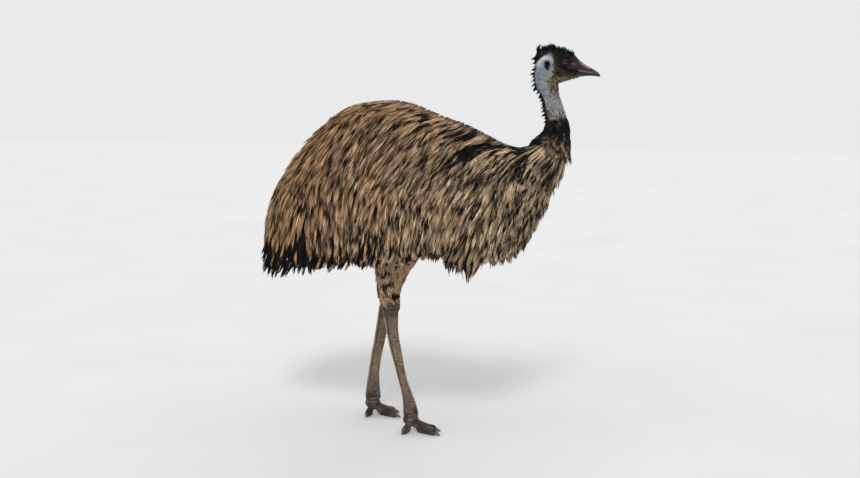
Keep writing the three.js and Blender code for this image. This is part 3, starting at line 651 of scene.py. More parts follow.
def cheekTint(places, x, z, edge, speck):
    # Black and brown mottle with a tan chin, a brown lore, a slate spot of blue-grey skin with a painted sheen,
    # and a brown fringe along its edge.
    mottle = smooth(0.45, 0.7, blotch(places, 6.5, 13))
    cheek = tinged(srgb(15, 13, 13), srgb(54, 43, 35), 0.75 * mottle)
    jaw = tinged(srgb(24, 21, 20), srgb(84, 72, 60), smooth(0.4, 0.7, speck))
    cheek = tinged(cheek, jaw, smooth(-20, -46, z))
    chin = smooth(-3, 4, mouthHeight(x) - z - 28 + 0.3 * (x - 60) + 5 * (speck - 0.5))
    cheek = tinged(cheek, srgb(150, 132, 108), 0.8 * chin)
    lore = hump(x, z, (92, 2, 11, 11))
    cheek = tinged(cheek, srgb(92, 72, 58), 0.6 * lore * (0.4 + speck))
    # blue-grey skin with a painted sheen
    slateSkinAndSheen = hump(x, z + 0.2 * (x - 30), (30, -13, 13, 5))
    cheek = tinged(cheek, srgb(66, 68, 80), 0.8 * slateSkinAndSheen)
    return tinged(cheek, srgb(84, 73, 60), 0.65 * bell(x - edge - 3, 8))


def faceTint(places):
    # Bare neck, black-brown face, black crown and nape, black round the eye, and painted shade in the ear's
    # opening and along the fold of the mouth.
    x, y, z = toHead(places).T
    ahead, aside = neckPlace(places)
    speck = blotch(places, 3.2, 1)
    patch = blotch(places, 12, 2)
    edge = faceEdge(z, 9) + 9 * (patch - 0.5) + 7 * (speck - 0.5)
    face = smooth(edge - 4, edge + 5, x) * smooth(-80, -60, z + 10 * (patch - 0.5))
    colour = tinged(neckTint(places, x, z, speck, patch), cheekTint(places, x, z, edge, speck), face)
    crown = smooth(-8, 4, z - crownHeight(x) + 12 * (speck - 0.5))
    colour = tinged(colour, srgb(13, 12, 13), crown)
    low = smooth(1330, 1250, places[:, 2])
    nape = smooth(-0.74, -0.9, ahead - 0.2 * low + 0.12 * (speck - 0.5))
    nape = nape * (1 - smooth(0.45, 0.75, aside - 0.35 * low)) * (z < 20)
    colour = tinged(colour, srgb(14, 13, 14), nape)
    brow = np.hypot((x - eye["x"] + 9) / 37, (z - eye["z"] - 20) / 33) + 0.3 * (patch - 0.5)
    colour = tinged(colour, srgb(11, 10, 11), 0.88 * (1 - smooth(0.7, 1.1, brow)) * smooth(10, 20, x))
    socket = np.sqrt(((x - eye["x"] + 2) / 27) ** 2 + ((z - eye["z"] - 3) / 17) ** 2)
    colour = tinged(colour, srgb(9, 8, 9), (1 - smooth(0.55, 1.1, socket)) * (x > 20))
    # painted shade in the ear's opening
    colour = tinged(colour, srgb(14, 12, 12), (1 - smooth(0.75, 1.3, earHole(x, z))) * (np.abs(y) > 12))
    # painted shade along the fold of the mouth
    line = bell(z - mouthHeight(x), 1.6) * smooth(24, 34, x)
    return tinged(colour, srgb(10, 9, 9), 0.85 * line)


ankle = {"crease": 73.0, "deep": 2.4, "tall": 2.2, "tilt": 0.2, "flare": 0.9}
# the groove lies that far behind the shank's middle, with the tendon behind it; wrinkles fold the hock
hock = {"groove": -0.3, "wrinkles": (480, 26), "wrinkle": 2.6}


def shankPlace(places):
    # How far ahead of the shank's middle a point is and how far out, both as shares of its half width.
    x, y, z = places.T
    ahead, out = np.zeros((2, len(x)))
    for name, side in both:
        rows = np.array(legs[name]["shank"], float)[::-1]
        middleX, middleY, deep, half = (np.interp(z, rows[:, 2], rows[:, column]) for column in (0, 1, 3, 4))
        mine = np.sign(y) == side
        ahead = np.where(mine, (x - middleX) / deep, ahead)
        out = np.where(mine, (np.abs(y) - middleY) / half, out)
    return ahead, out


def overCrease(places):
    # Height over the fold of the ankle, which climbs towards the toes.
    ball = np.where(places[:, 1] < 0, legs["right"]["ball"][0], legs["left"]["ball"][0])
    return places[:, 2] - ankle["crease"] - ankle["tilt"] * (places[:, 0] - ball)


def legTint(places):
    # Brown-grey shanks and darker hocks and feet, with painted shade under the feet, in the groove beside the
    # tendon, in the hock's wrinkles and in the fold of the ankle, and painted light on the tendon.
    z = places[:, 2]
    ahead, _ = shankPlace(places)
    shank = tinged(srgb(112, 94, 76), srgb(148, 122, 98), blotch(places, 26, 3))
    foot = tinged(srgb(48, 43, 40), srgb(98, 87, 77), smooth(0.3, 0.7, blotch(places, 22, 24)))
    # painted shade: the feet darker towards the ground, on their undersides
    foot = foot * mixed(0.5, 1.0, smooth(4, 26, z))[:, None]
    colour = tinged(foot, shank, smooth(60, 190, z))
    colour = tinged(colour, srgb(64, 53, 45), 0.85 * smooth(425, 462, z))
    long = smooth(110, 180, z) * (1 - smooth(440, 480, z))
    # painted shade in the groove and along the fold of the ankle, and painted light on the tendon behind the
    # groove
    groove = bell(ahead - hock["groove"], 0.15) * long
    tendon = smooth(-0.42, -0.6, ahead) * long
    shade = (1 - 0.75 * groove + 0.5 * tendon) * (1 - 0.88 * bell(overCrease(places), 1.8))
    # painted shade in the wrinkles of the hock
    middle, tall = hock["wrinkles"]
    shade = shade * (1 - 0.3 * bell(z - middle, tall) * (np.sin(z / hock["wrinkle"]) > 0.3))
    colour = colour * shade[:, None]
    return tinged(colour, colour * 0.6, smooth(0.55, 0.8, blotch(places, 6, 4)) * 0.7)


# The body under the coat: dark brown, painted shade that shows in the gaps between the feathers.
def underCoatShadeTint(places):
    return tinged(srgb(38, 31, 26), srgb(62, 50, 40), blotch(places, 40, 6))


def sculptLegs(places):
    # Grooves beside the tendon, knuckles and folds of the hock and the fold above the foot.
    x, y, z = places.T
    ahead, out = shankPlace(places)
    way = unit(np.stack([ahead, out], -1))
    long = smooth(120, 190, z) * (1 - smooth(425, 470, z))
    groove = bell(ahead - hock["groove"], 0.13) * long
    knuckle = bell(z - 494, 15) * bell(ahead - 0.3, 0.4)
    pinch = bell(z - 462, 7)
    middle, tall = hock["wrinkles"]
    wrinkle = np.sin(z / hock["wrinkle"]) * bell(z - middle, tall)
    over = overCrease(places)
    fold = bell(over, ankle["tall"])
    flare = bell(over - 14, 9)
    push = 3.2 * knuckle - 2.8 * groove - 1.8 * pinch + 0.8 * wrinkle
    push = push - ankle["deep"] * fold + ankle["flare"] * flare
    push = push * (z > 58)
    return np.stack([x + push * way[:, 0], y + push * way[:, 1] * np.sign(y), z], -1)


def thinned(shape, triangles):
    # Fewer faces, down to about that many triangles, with the sculpted detail kept.
    count = sum(len(face.vertices) - 2 for face in shape.data.polygons)
    if count > triangles:
        applied(shape, "DECIMATE", ratio=triangles / count)
    return shape.data


def remeshed(name, form, voxel, rounds):
    # One closed skin round all the bodies of a form, smoothed a few times.
    shape = objectOf(name, formMesh(name, form))
    mesh = applied(shape, "REMESH", mode="VOXEL", voxel_size=voxel)
    form = bmesh.new()
    form.from_mesh(mesh)
    axes = {"use_axis_" + axis: True for axis in "xyz"}
    for _ in range(rounds):
        bmesh.ops.smooth_vert(form, verts=form.verts, factor=0.5, **axes)
    form.to_mesh(mesh)
    form.free()
    return shape


# the places and outward ways that the bristles grow from
headSkin = {}


def makeHeadForm():
    form = bmesh.new()
    loftInto(form, lambda s: skullSection(skullRows, s), *skin["headGrid"], -0.4, 0.95)
    loftInto(form, lambda s: neckSection(neckStations, s), *skin["neckGrid"], -0.5, span=(skin["neckFrom"], 1))
    shape = remeshed("headForm", form, skin["headVoxel"], skin["headSmooth"])
    setCorners(shape.data, sculptHead(cornersOf(shape.data)))
    mesh = thinned(shape, skin["headTriangles"])
    places = cornersOf(mesh)
    setTint(mesh, faceTint(places))
    normals = np.empty(len(mesh.vertices) * 3, np.float32)
    mesh.vertices.foreach_get("normal", normals)
    headSkin["places"] = places
    headSkin["normals"] = normals.reshape(-1, 3).astype(float)
    return shape


def makeLegForm():
    form = bmesh.new()
    for name, side in both:
        leg = legs[name]
        foot = footOf(leg, side)
        loftInto(form, lambda s: limbSection(leg["thigh"], s, side), *skin["thighGrid"], -skin["thighInset"])
        loftInto(form, lambda s: limbSection(leg["shank"], s, side), *skin["shankGrid"], -0.6)
        ellipsoid(form, (*foot, 45), (31.5, 30, 25))
        for toe in leg["toes"].values():
            loftInto(form, lambda s: toeSection(toeRows, s, foot, toe), *skin["toeGrid"], -0.4, floor=0.3)
    shape = remeshed("legForm", form, skin["legVoxel"], skin["legSmooth"])
    places = sculptLegs(cornersOf(shape.data))
    places[:, 2] = np.maximum(places[:, 2], 0.2)
    setCorners(shape.data, places)
    mesh = thinned(shape, skin["legTriangles"])
    setTint(mesh, legTint(cornersOf(mesh)))
    return shape


def makeBodyForm():
    form = bmesh.new()
    loftInto(form, coreSection, *skin["coreGrid"], -skin["underCoat"], 0.92)
    shape = objectOf("bodyForm", formMesh("bodyForm", form))
    setTint(shape.data, underCoatShadeTint(cornersOf(shape.data)))
    return shape


def joined(name, parts):
    # One mesh from several, each with its own material.
    form = bmesh.new()
    for slotIndex, part in enumerate(parts):
        before = len(form.faces)
        form.from_mesh(part.data)
        form.faces.ensure_lookup_table()
        for face in form.faces[before:]:
            face.material_index = slotIndex
            face.smooth = True
    mesh = bpy.data.meshes.new(name)
    form.to_mesh(mesh)
    form.free()
    for part in parts:
        bpy.data.objects.remove(part)
    return mesh


def finished(name, mesh, finishes, nodes=()):
    piece = objectOf(name, mesh)
    for finish in finishes:
        mesh.materials.append(finish)
    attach(piece, "root")
    if nodes:
        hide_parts(*nodes)
    return piece


skinNodes = ["head", "neck_upper", "neck_lower", "breast", "torso", "tail"]
for name, _ in both:
    skinNodes += [part + "_" + name for part in ("ear", "wing", "thigh", "tarsus", "foot")]
    skinNodes += ["toe_" + name + "_" + toe for toe in ("inner", "middle", "outer")]
skinMesh = joined("skin", [makeHeadForm(), makeLegForm(), makeBodyForm()])
finished("skin", skinMesh, [materials["neck"], materials["leg"], materials["hide"]], skinNodes)
print("skin triangles", sum(len(face.vertices) - 2 for face in skinMesh.polygons))


# ---- bill

bill = {"sides": 72, "rings": 110, "inset": 0.2, "root": (96, 108), "rootInset": 3.0}
gape = {"deep": 2.4, "wide": 1.1, "lowerInset": 0.9, "tip": (176, 190)}
hollow = {"deep": 2.2, "x": 140, "long": 26, "slope": 0.62, "tall": 4.5}
nostril = {"x": 154, "z": -19, "long": 6.2, "tall": 2.3, "deep": 4.2, "rim": 0.7}
ridgeLine = [(84, 40), (116, 14.5), (132, 2), (150, -9.5), (166, -18), (180, -26.5), (192, -40)]


def nostrilSpot(x, z):
    # 1 at the nostril's edge. It slants forward and down.
    dx, dz = x - nostril["x"], z - nostril["z"]
    forward, up = dx + 0.35 * dz, dz + 0.5 + 0.18 * dx
    return np.sqrt((forward / nostril["long"]) ** 2 + (up / nostril["tall"]) ** 2)


def sculptBill(spots):
    x, y, z = spots.T
    side, wide = np.sign(y), np.abs(y)
    gap = z - mouthHeight(x)
    tipFade = 1 - smooth(*gape["tip"], x)
    wide = wide - gape["deep"] * bell(gap, gape["wide"]) * (0.25 + 0.75 * tipFade)
    wide = wide - gape["lowerInset"] * smooth(1, -4, gap) * tipFade
    # hollow beside the ridge of the bill, and the nostril in it
    below = z - (2 - (x - 132) * hollow["slope"])
    wide = wide - hollow["deep"] * hump(x, below, (hollow["x"], -9, hollow["long"], hollow["tall"]))
    slit = nostrilSpot(x, z)
    wide = wide - nostril["deep"] * (1 - smooth(0.35, 1.0, slit)) + nostril["rim"] * bell(slit - 1.3, 0.25)
    # the root slips under the skin of the face
    under = 1 - smooth(*bill["root"], x)
    wide = wide - bill["rootInset"] * under
    z = mixed(z, z * 0.92 - 0.4, under)
    return np.stack([x, side * np.maximum(wide, 0), z], -1)


def billTint(places):
    # Near black, with a pinkish ridge, a grey streak over the mouth and a painted highlight on the tip, out of
    # the face's colours, with painted shade along the mouth's fold and in the nostril.
    x, _, z = toHead(places).T
    gap = z - mouthHeight(x)
    ridgeAt = np.interp(x, *np.array(ridgeLine, float).T)
    ridge = smooth(15, 8, ridgeAt - z + 0.1 * (x - 130)) * (1 - smooth(150, 166, x)) * smooth(106, 120, x)
    patch = blotch(places, 8, 8)
    colour = tinged(srgb(22, 20, 22), srgb(38, 36, 38), patch)
    colour = tinged(colour, tinged(srgb(104, 84, 72), srgb(158, 132, 116), patch), 0.92 * ridge)
    streak = bell(gap - 6.0, 2.4) * smooth(92, 104, x) * (1 - smooth(152, 168, x))
    colour = tinged(colour, srgb(114, 116, 122), 0.8 * streak)
    # painted highlight on the tip of the upper bill
    colour = tinged(colour, srgb(86, 82, 88), 0.7 * smooth(158, 176, x) * smooth(2, 8, gap))
    colour = tinged(colour, srgb(26, 25, 28), 0.85 * (gap < 0))
    horny = (gap < 0) * smooth(-8, -12, gap) * (1 - smooth(110, 130, x))
    colour = tinged(colour, srgb(112, 96, 80), 0.7 * horny)
    colour = tinged(faceTint(places), colour, smooth(100, 114, x))
    # painted shade along the fold of the mouth
    colour = tinged(colour, srgb(8, 7, 8), 0.95 * bell(gap, 1.3))
    # painted shade in the nostril
    return tinged(colour, srgb(8, 7, 7), 1 - smooth(0.7, 1.15, nostrilSpot(x, z)))


def makeBill():
    form = bmesh.new()

    def sectionAt(share):
        return skullSection(billRows, share)

    loftInto(form, sectionAt, bill["sides"], bill["rings"], -bill["inset"], 0.9, span=(0.02, 1))
    mesh = formMesh("bill", form)
    places = cornersOf(mesh)
    setCorners(mesh, fromHead(sculptBill(toHead(places))))
    setTint(mesh, billTint(places))
    setSmooth(mesh)
    return mesh


billHorn = Finish("billHorn", Roughness=0.4, Specular_IOR_Level=0.3)
hornTint = billHorn.add("ShaderNodeAttribute", attribute_name="tint").outputs["Color"]
hornShade = billHorn.greys(billHorn.noise(160, 5), (0.32, 0.75), (0.7, 1.25))
billHorn.bump(billHorn.math("MULTIPLY", billHorn.noise(240, 4), 0.0011), 1.0)
billHorn.paint(billHorn.mix("MULTIPLY", 1.0, hornTint, hornShade))
finished("bill", makeBill(), [billHorn.material], ["bill_upper", "bill_lower"])
print("bill")


# ---- eyes

eyeParts = {"pupil": 5.8, "ring": 8.8, "iris": 9.8, "lookUp": 2.0, "bulge": 1.0, "bulgeWide": 9, "inset": 0.2}


def eyeTint(places):
    # A black pupil in a red-brown iris, shaded by the upper lid, with a dark ring and a dark rim.
    x, _, z = toHead(places).T
    up = z - eye["z"]
    out = np.hypot(x - eye["x"], up - eyeParts["lookUp"])
    spokes = blotch(np.stack([np.arctan2(up, x - eye["x"]) * 9, out * 0.25, out * 0], -1), 1.0, 9)
    iris = tinged(srgb(78, 28, 11), srgb(128, 54, 21), spokes)
    iris = tinged(srgb(12, 6, 5), iris, smooth(4, -4, up))
    iris = tinged(iris, srgb(48, 18, 10), smooth(eyeParts["ring"], eyeParts["iris"], out))
    colour = tinged(srgb(2, 2, 2), iris, smooth(eyeParts["pupil"] - 0.3, eyeParts["pupil"] + 0.3, out))
    return tinged(colour, srgb(14, 10, 9), smooth(eyeParts["iris"] - 0.3, eyeParts["iris"] + 0.6, out))


def makeEye(side):
    # A ball whose pole looks out of the head, with a bulge for its clear front.
    form = bmesh.new()
    bmesh.ops.create_uvsphere(form, u_segments=64, v_segments=40, radius=1)
    ballSpots = np.array([corner.co[:] for corner in form.verts])
    local = np.stack([ballSpots[:, 0], side * ballSpots[:, 2], ballSpots[:, 1] * side], -1)
    radial = np.hypot(local[:, 0], local[:, 2]) * eye["radius"]
    front = side * local[:, 1] > 0
    middle = np.array([eye["x"], side * eye["y"], eye["z"]])
    spots = middle + local * (eye["radius"] - eyeParts["inset"])
    spots[:, 1] += side * (eyeParts["bulge"] * bell(radial, eyeParts["bulgeWide"]) * front)
    for corner, spot in zip(form.verts, inMetres(fromHead(spots))):
        corner.co = spot
    mesh = formMesh("eye", form)
    setTint(mesh, eyeTint(cornersOf(mesh)))
    setSmooth(mesh)
    return mesh


wetEye = Finish("wetEye", Roughness=0.05, Specular_IOR_Level=0.3)
irisTint = wetEye.add("ShaderNodeAttribute", attribute_name="tint").outputs["Color"]
irisShade = wetEye.greys(wetEye.noise(700, 2), (0.3, 0.85), (0.7, 1.15))
wetEye.paint(wetEye.mix("MULTIPLY", 1.0, irisTint, irisShade))
for name, side in both:
    finished("eye_" + name + "_ball", makeEye(side), [wetEye.material], ["eye_" + name])
print("eyes")


# ---- claws and scutes

def makeClaw(side, leg, shape):
    form = bmesh.new()
    foot = footOf(leg, side)

    def sectionAt(share):
        return toeSection(clawRows, share, foot, shape, claw["from"], claw["long"])

    loftInto(form, sectionAt, claw["sides"], claw["rings"], floor=0.6)
    mesh = formMesh("claw", form)
    setSmooth(mesh)
    return mesh


clawHorn = Finish("clawHorn", Roughness=0.34, Specular_IOR_Level=0.5)
clawTone = clawHorn.noise(90, 4)
clawHorn.bump(clawHorn.math("MULTIPLY", clawHorn.noise(420, 3), 0.0006), 1.0)
clawStops = [(0.3, srgb(48, 38, 30)), (0.52, srgb(86, 68, 50)), (0.74, srgb(132, 108, 80))]
clawHorn.paint(clawHorn.tones(clawTone, clawStops))
for name, side in both:
    for toe, shape in legs[name]["toes"].items():
        node = "claw_" + name + "_" + toe
        finished(node + "_horn", makeClaw(side, legs[name], shape), [clawHorn.material], [node])

scutes = {
    "across": 8, "long": 3, "rim": -0.8, "rise": 1.5, "deep": 1.6, "wave": 0.5, "cover": 0.97, "light": 1.12,
    "shankFrom": 66, "shankTo": 330, "shankStep": 10.5, "uneven": 0.12,
    "shankHalf": (0.95, 0.6), "narrowing": (120, 330),
    "toeFrom": 0.42, "toeTo": 0.985, "toeStep": 5.6, "toeShare": 0.62, "toeHalf": 1.05,
}


def plateInto(form, sectionAt, first, last, half):
    # A plate bent over a limb's front between two shares, thick in the middle and tucked in at its rim.
    made = bmesh.ops.create_grid(form, x_segments=scutes["across"], y_segments=scutes["long"], size=1)
    corners = made["verts"]
    grid = np.array([corner.co[:2] for corner in corners])
    share = mixed(first, last, (grid[:, 1] + 1) / 2)
    angle = math.pi / 2 + grid[:, 0] * half
    middle, across, up = sectionAt(share)
    out = across * np.cos(angle)[:, None] + up * np.sin(angle)[:, None]
    rim = (1 - np.abs(grid[:, 0]) ** 6) * (1 - np.abs(grid[:, 1]) ** 4)
    lift = mixed(scutes["rim"], scutes["rise"], rim) + scutes["wave"] * (grid[:, 1] * 0.5)
    spots = middle + out + unit(out) * lift[:, None]
    for corner, spot in zip(corners, inMetres(spots)):
        corner.co = spot
    faces = list({face for corner in corners for face in corner.link_faces})
    bmesh.ops.recalc_face_normals(form, faces=faces)
    bmesh.ops.solidify(form, geom=faces, thickness=scutes["deep"] / 1000)


def shankScutes(form, leg, side):
    # Plates up the front of a shank, in uneven steps and narrower towards the hock.
    def sectionAt(share):
        return limbSection(leg["shank"], share, side)

    shares = np.linspace(0, 1, 400)
    heights = along(leg["shank"], shares)[:, 2]
    height = scutes["shankFrom"]
    step = 0
    while height < scutes["shankTo"]:
        tall = scutes["shankStep"] * (1 + scutes["uneven"] * math.sin(step * 2.3))
        ends = np.interp([-height - tall * scutes["cover"], -height], -heights, shares)
        plateInto(form, sectionAt, *ends, mixed(*scutes["shankHalf"], smooth(*scutes["narrowing"], height)))
        height += tall
        step += 1


def toeScutes(form, shape, foot):
    def sectionAt(share):
        return toeSection(toeRows, share, foot, shape)

    count = int(shape[1] * scutes["toeShare"] / scutes["toeStep"])
    for k in range(count):
        ends = np.array([k, k + scutes["cover"]]) / count
        plateInto(form, sectionAt, *mixed(scutes["toeFrom"], scutes["toeTo"], ends), scutes["toeHalf"])


def makeScutes():
    form = bmesh.new()
    for name, side in both:
        shankScutes(form, legs[name], side)
        for shape in legs[name]["toes"].values():
            toeScutes(form, shape, footOf(legs[name], side))
    mesh = formMesh("scutes", form)
    setTint(mesh, legTint(cornersOf(mesh)) * scutes["light"])
    setSmooth(mesh)
    return mesh


finished("scutes", makeScutes(), [materials["leg"]])
print("claws and scutes")


# ---- coat

def ringPattern(rings):
    # Faces of one strand: three sides through its rings, a point at its tip and a cap at its root.
    faces = [(0, 1, 2)]
    for ring in range(rings - 1):
        base = 3 * ring
        for k in range(3):
            m = (k + 1) % 3
            faces.append((base + k, base + 3 + k, base + 3 + m, base + m))
    tip = 3 * rings
    base = 3 * (rings - 1)
    faces += [(base + k, tip, base + (k + 1) % 3) for k in range(3)]
    return faces


# how wide a tuft's patch is on the unwrap, and the shares of it between its strands and across one strand
tuftPatch = {"size": 0.003, "lane": 0.4, "strand": 0.12}


def strandMesh(name, strands):
    # One mesh of tapered strands from arrays: their lines (n, rings + 1, 3), outward ways, half widths, tints
    # and places on the unwrap.
    line, out, half, tint = (strands[key] for key in ("line", "out", "half", "tint"))
    patch, lane = strands["patch"], strands["lane"]
    count, spots = line.shape[:2]
    rings = spots - 1
    run = np.gradient(line, axis=1)
    across = unit(np.cross(run, out))
    rise = unit(np.cross(across, run))
    corners = np.empty((count, 3 * rings + 1, 3))
    for k, (a, b) in enumerate(((-1.0, -0.25), (1.0, -0.25), (0.0, 0.75))):
        ways = across[:, :rings] * a + rise[:, :rings] * b
        corners[:, k:3 * rings:3] = line[:, :rings] + ways * half[:, :rings, None]
    corners[:, -1] = line[:, -1]
    colours = np.empty((count, 3 * rings + 1, 3))
    for k in range(3):
        colours[:, k:3 * rings:3] = tint[:, :rings]
    colours[:, -1] = tint[:, -1]
    pattern = ringPattern(rings)
    sizes = np.array([len(face) for face in pattern])
    flat = np.array([corner for face in pattern for corner in face])
    each = 3 * rings + 1
    loops = (np.arange(count)[:, None] * each + flat).ravel().astype(np.int32)
    starts = np.concatenate([[0], np.cumsum(np.tile(sizes, count))[:-1]]).astype(np.int32)
    mesh = bpy.data.meshes.new(name)
    mesh.vertices.add(count * each)
    mesh.loops.add(len(loops))
    mesh.polygons.add(len(starts))
    mesh.vertices.foreach_set("co", inMetres(corners).astype(np.float32).ravel())
    mesh.loops.foreach_set("vertex_index", loops)
    mesh.polygons.foreach_set("loop_start", starts)
    mesh.update(calc_edges=True)
    setTint(mesh, colours.reshape(-1, 3))
    # each tuft is a small patch at its root's place
    down = np.repeat(np.linspace(0, 1, rings), 3)
    down = np.append(down, 1.0)
    sideways = np.append(np.tile([-0.1, 0.1, 0.0], rings), 0.0)
    size = tuftPatch["size"]
    spotU = patch[:, None, 0] + size * (lane[:, None] * tuftPatch["lane"] + tuftPatch["strand"] * sideways)
    spotV = patch[:, None, 1] + size * (down[None] - 0.5)
    places = np.stack(np.broadcast_arrays(spotU, spotV), -1).reshape(-1, 2)
    layer = mesh.uv_layers.new(name="OFBake")
    layer.data.foreach_set("uv", places[loops].astype(np.float32).ravel())
    setSmooth(mesh)
    return mesh


def gathered(parts):
    return {key: np.concatenate([part[key] for part in parts]) for key in parts[0]}


def chosen(strands, keep):
    return {key: value[keep] for key, value in strands.items()}


def trisOf(strands):
    count, spots = strands["line"].shape[:2]
    return count * (6 * (spots - 2) + 4)


def coatPieces(name, strands, finish, limit=185000):
    # Splits strands into pieces of fewer triangles than the limit, in the order they come.
    parts = max(1, math.ceil(trisOf(strands) / limit))
    for k, rows in enumerate(np.array_split(np.arange(len(strands["line"])), parts)):
        label = name if parts == 1 else name + "_" + str(k + 1)
        finished(label, strandMesh(label, chosen(strands, rows)), [materials[finish]])
        print(label, trisOf(chosen(strands, rows)))


featherShape = {
    # where a strand's rings are, and how far the bunch fans out and how thick the strand is at each
    "levels": (0, 0.38, 0.72, 0.86, 1), "fan": (0.4, 1, 1, 0.85, 0.3), "thick": (0.3, 1, 1, 0.85, 0.2),
    "reach": (0.86, 1.02), "edgeShorter": 0.12, "sizes": (0.75, 1.25),
}


def feathers(path, count, strands, halfWidth, patches, seed, thin, curl):
    # Feathers as bunches of strands. path(share, offset, level, lane, pick) gives points, outward ways and
    # tints for arrays (feathers, strands): share of the feather's reach, offset across it, level along the
    # strand, lane from one edge of the feather (-1) to the other (1), and pick, each strand's own draw.
    draw = np.random.default_rng(seed)
    shape = (count, strands)
    lane = np.linspace(-1, 1, strands)[None] + draw.uniform(-0.6, 0.6, shape) / strands
    reach = draw.uniform(*featherShape["reach"], shape) * (1 - featherShape["edgeShorter"] * lane ** 2)
    pick = draw.uniform(0, 1, shape)
    wave = draw.uniform(0, 2 * np.pi, shape)
    swing = draw.uniform(-1, 1, shape)
    size = draw.uniform(*featherShape["sizes"], shape) * thin
    lines, outs, halves, tints = [], [], [], []
    for level in featherShape["levels"]:
        fan = np.interp(level, featherShape["levels"], featherShape["fan"])
        sway = np.sin(wave + level * 3.6) * curl * level + swing * curl * 1.2 * level ** 2
        place, out, tint = path(reach * level, lane * halfWidth[:, None] * fan + sway, level, lane, pick)
        lines.append(place)
        outs.append(out)
        halves.append(size * np.interp(level, featherShape["levels"], featherShape["thick"]))
        tints.append(tint)
    flat = count * strands
    spots = len(featherShape["levels"])
    return {
        "line": np.stack(lines, 2).reshape(flat, spots, 3),
        "out": np.stack(outs, 2).reshape(flat, spots, 3),
        "half": np.stack(halves, 2).reshape(flat, spots),
        "tint": np.stack(tints, 2).reshape(flat, spots, 3),
        "patch": np.repeat(patches, strands, axis=0),
        "lane": lane.ravel(),
    }


tones = {
    "front": srgb(208, 181, 147), "rump": srgb(192, 152, 114),
    "root": srgb(36, 29, 25), "black": srgb(15, 14, 14),
    "ruff": srgb(176, 152, 122), "ruffRoot": srgb(20, 17, 16), "thigh": srgb(214, 180, 140),
    "belly": srgb(124, 100, 78),
}


def featherTint(tan, root, level, lane, pick, blackLength, dim=(0.42, 0.74)):
    # A strand's colour down its length: a dim root, its own darker base and painted shade under the feathers
    # over it; tan with painted shade towards the feather's edges; a black tip.
    # painted shade towards the feather's edges, and a strength of its own for each strand
    strength = (0.86 + 0.28 * pick) * (1 - 0.3 * np.abs(lane) ** 3)
    strength = np.where(pick < 0.08, 0.4, strength)
    # the dim root: the feather's own darker base and painted shade where other feathers cover it
    grown = np.asarray(smooth(*dim, level))[..., None]
    colour = mixed(root, tan * strength[..., None], grown)
    start = 1 - blackLength + 0.06 * (pick - 0.5)
    return mixed(colour, tones["black"], smooth(start - 0.03, start + 0.03, level)[..., None])


plumage = {
    "rowStep": 29.0, "spacing": 10.5, "strands": 9, "halfWidth": 5.8, "thin": 1.4, "curl": 2.0,
    "length": (150, 195), "breastLength": (75, 110), "ridgeLength": (60, 150), "shortest": 0.05,
    "side": 640, "lastRow": 0.95, "rowsTogether": 1.25,
    "sink": (-30, -20, -12.5, -6, 0), "lift": 2.4, "looseLift": (3, 9), "ridgeLift": 6,
}
hem = {"reach": 30.0, "root": 0.06, "rear": 0.07, "rearAt": (0.86, 0.97)}
hemNotches = [
    # around, half width, how much higher the hem is there: behind the wing's tuft and ahead of it
    (0.395, 0.045, 0.085), (0.16, 0.06, 0.03),
]
wingTuft = {"at": 0.28, "half": 0.057, "lobes": (0.264, 0.318), "reach": (0.135, 0.1), "from": 0.7}
ringShares = np.linspace(-0.012, 1.012, 240)
darkAreas = [
    # around, down, half width, half height, how many more of the feathers there are black, or fewer
    (0.48, 0.19, 0.06, 0.11, 1.1), (0.425, 0.42, 0.022, 0.10, 0.9), (0.39, 0.22, 0.03, 0.05, 0.7),
    (0.32, 0.16, 0.075, 0.13, 1.5), (0.255, 0.17, 0.035, 0.12, 1.0), (0.23, 0.38, 0.035, 0.10, 0.9),
    (0.07, 0.72, 0.05, 0.09, 0.6), (0.345, 0.57, 0.025, 0.05, 1.1), (0.20, 0.80, 0.04, 0.08, 0.35),
    (0.52, 0.82, 0.04, 0.10, 0.35), (0.45, 0.97, 0.05, 0.05, 0.5), (0.06, 0.22, 0.10, 0.14, 0.7),
    (0.19, 0.06, 0.02, 0.05, -0.4), (0.17, 0.95, 0.06, 0.06, -0.4), (0.58, 0.22, 0.05, 0.1, 0.3),
]
swells = [
    # around, down, half width, half height, how far the coat stands out there in millimetres
    (0.88, 0.33, 0.09, 0.20, -21), (0.50, 0.0, 0.06, 0.12, 10), (0.0, 0.2, 0.10, 0.16, 10),
]


def hills(areas, around, down):
    # Every area's bump at each place, one row for each area.
    return [much * hump(around, down, spot) for *spot, much in areas]


def mantleRoots(side, draw):
    # Roots in rows round the body, closer together near the ridge.
    rows = int(plumage["side"] / plumage["rowStep"])
    starts = []
    for row in range(rows):
        level = plumage["lastRow"] * (row / (rows - 1)) ** plumage["rowsTogether"]
        line = mantleSpot(ringShares, np.full_like(ringShares, level), side)
        run = np.concatenate([[0], np.cumsum(np.linalg.norm(np.diff(line, axis=0), axis=1))])
        count = max(int(run[-1] / plumage["spacing"]), 20)
        spots = (np.arange(count) + draw.uniform(-0.45, 0.45, count) + 0.5 * (row % 2)) / count
        around = np.interp(np.clip(spots, 0, 1) * run[-1], run, ringShares)
        down = level + draw.uniform(-0.5, 0.5, count) / rows * min(1, 0.3 + row / 4)
        starts.append(np.stack([around, down], -1))
    starts = np.concatenate(starts)
    around, down = starts[np.argsort(starts[:, 0])].T
    return around, np.maximum(down, -0.01)


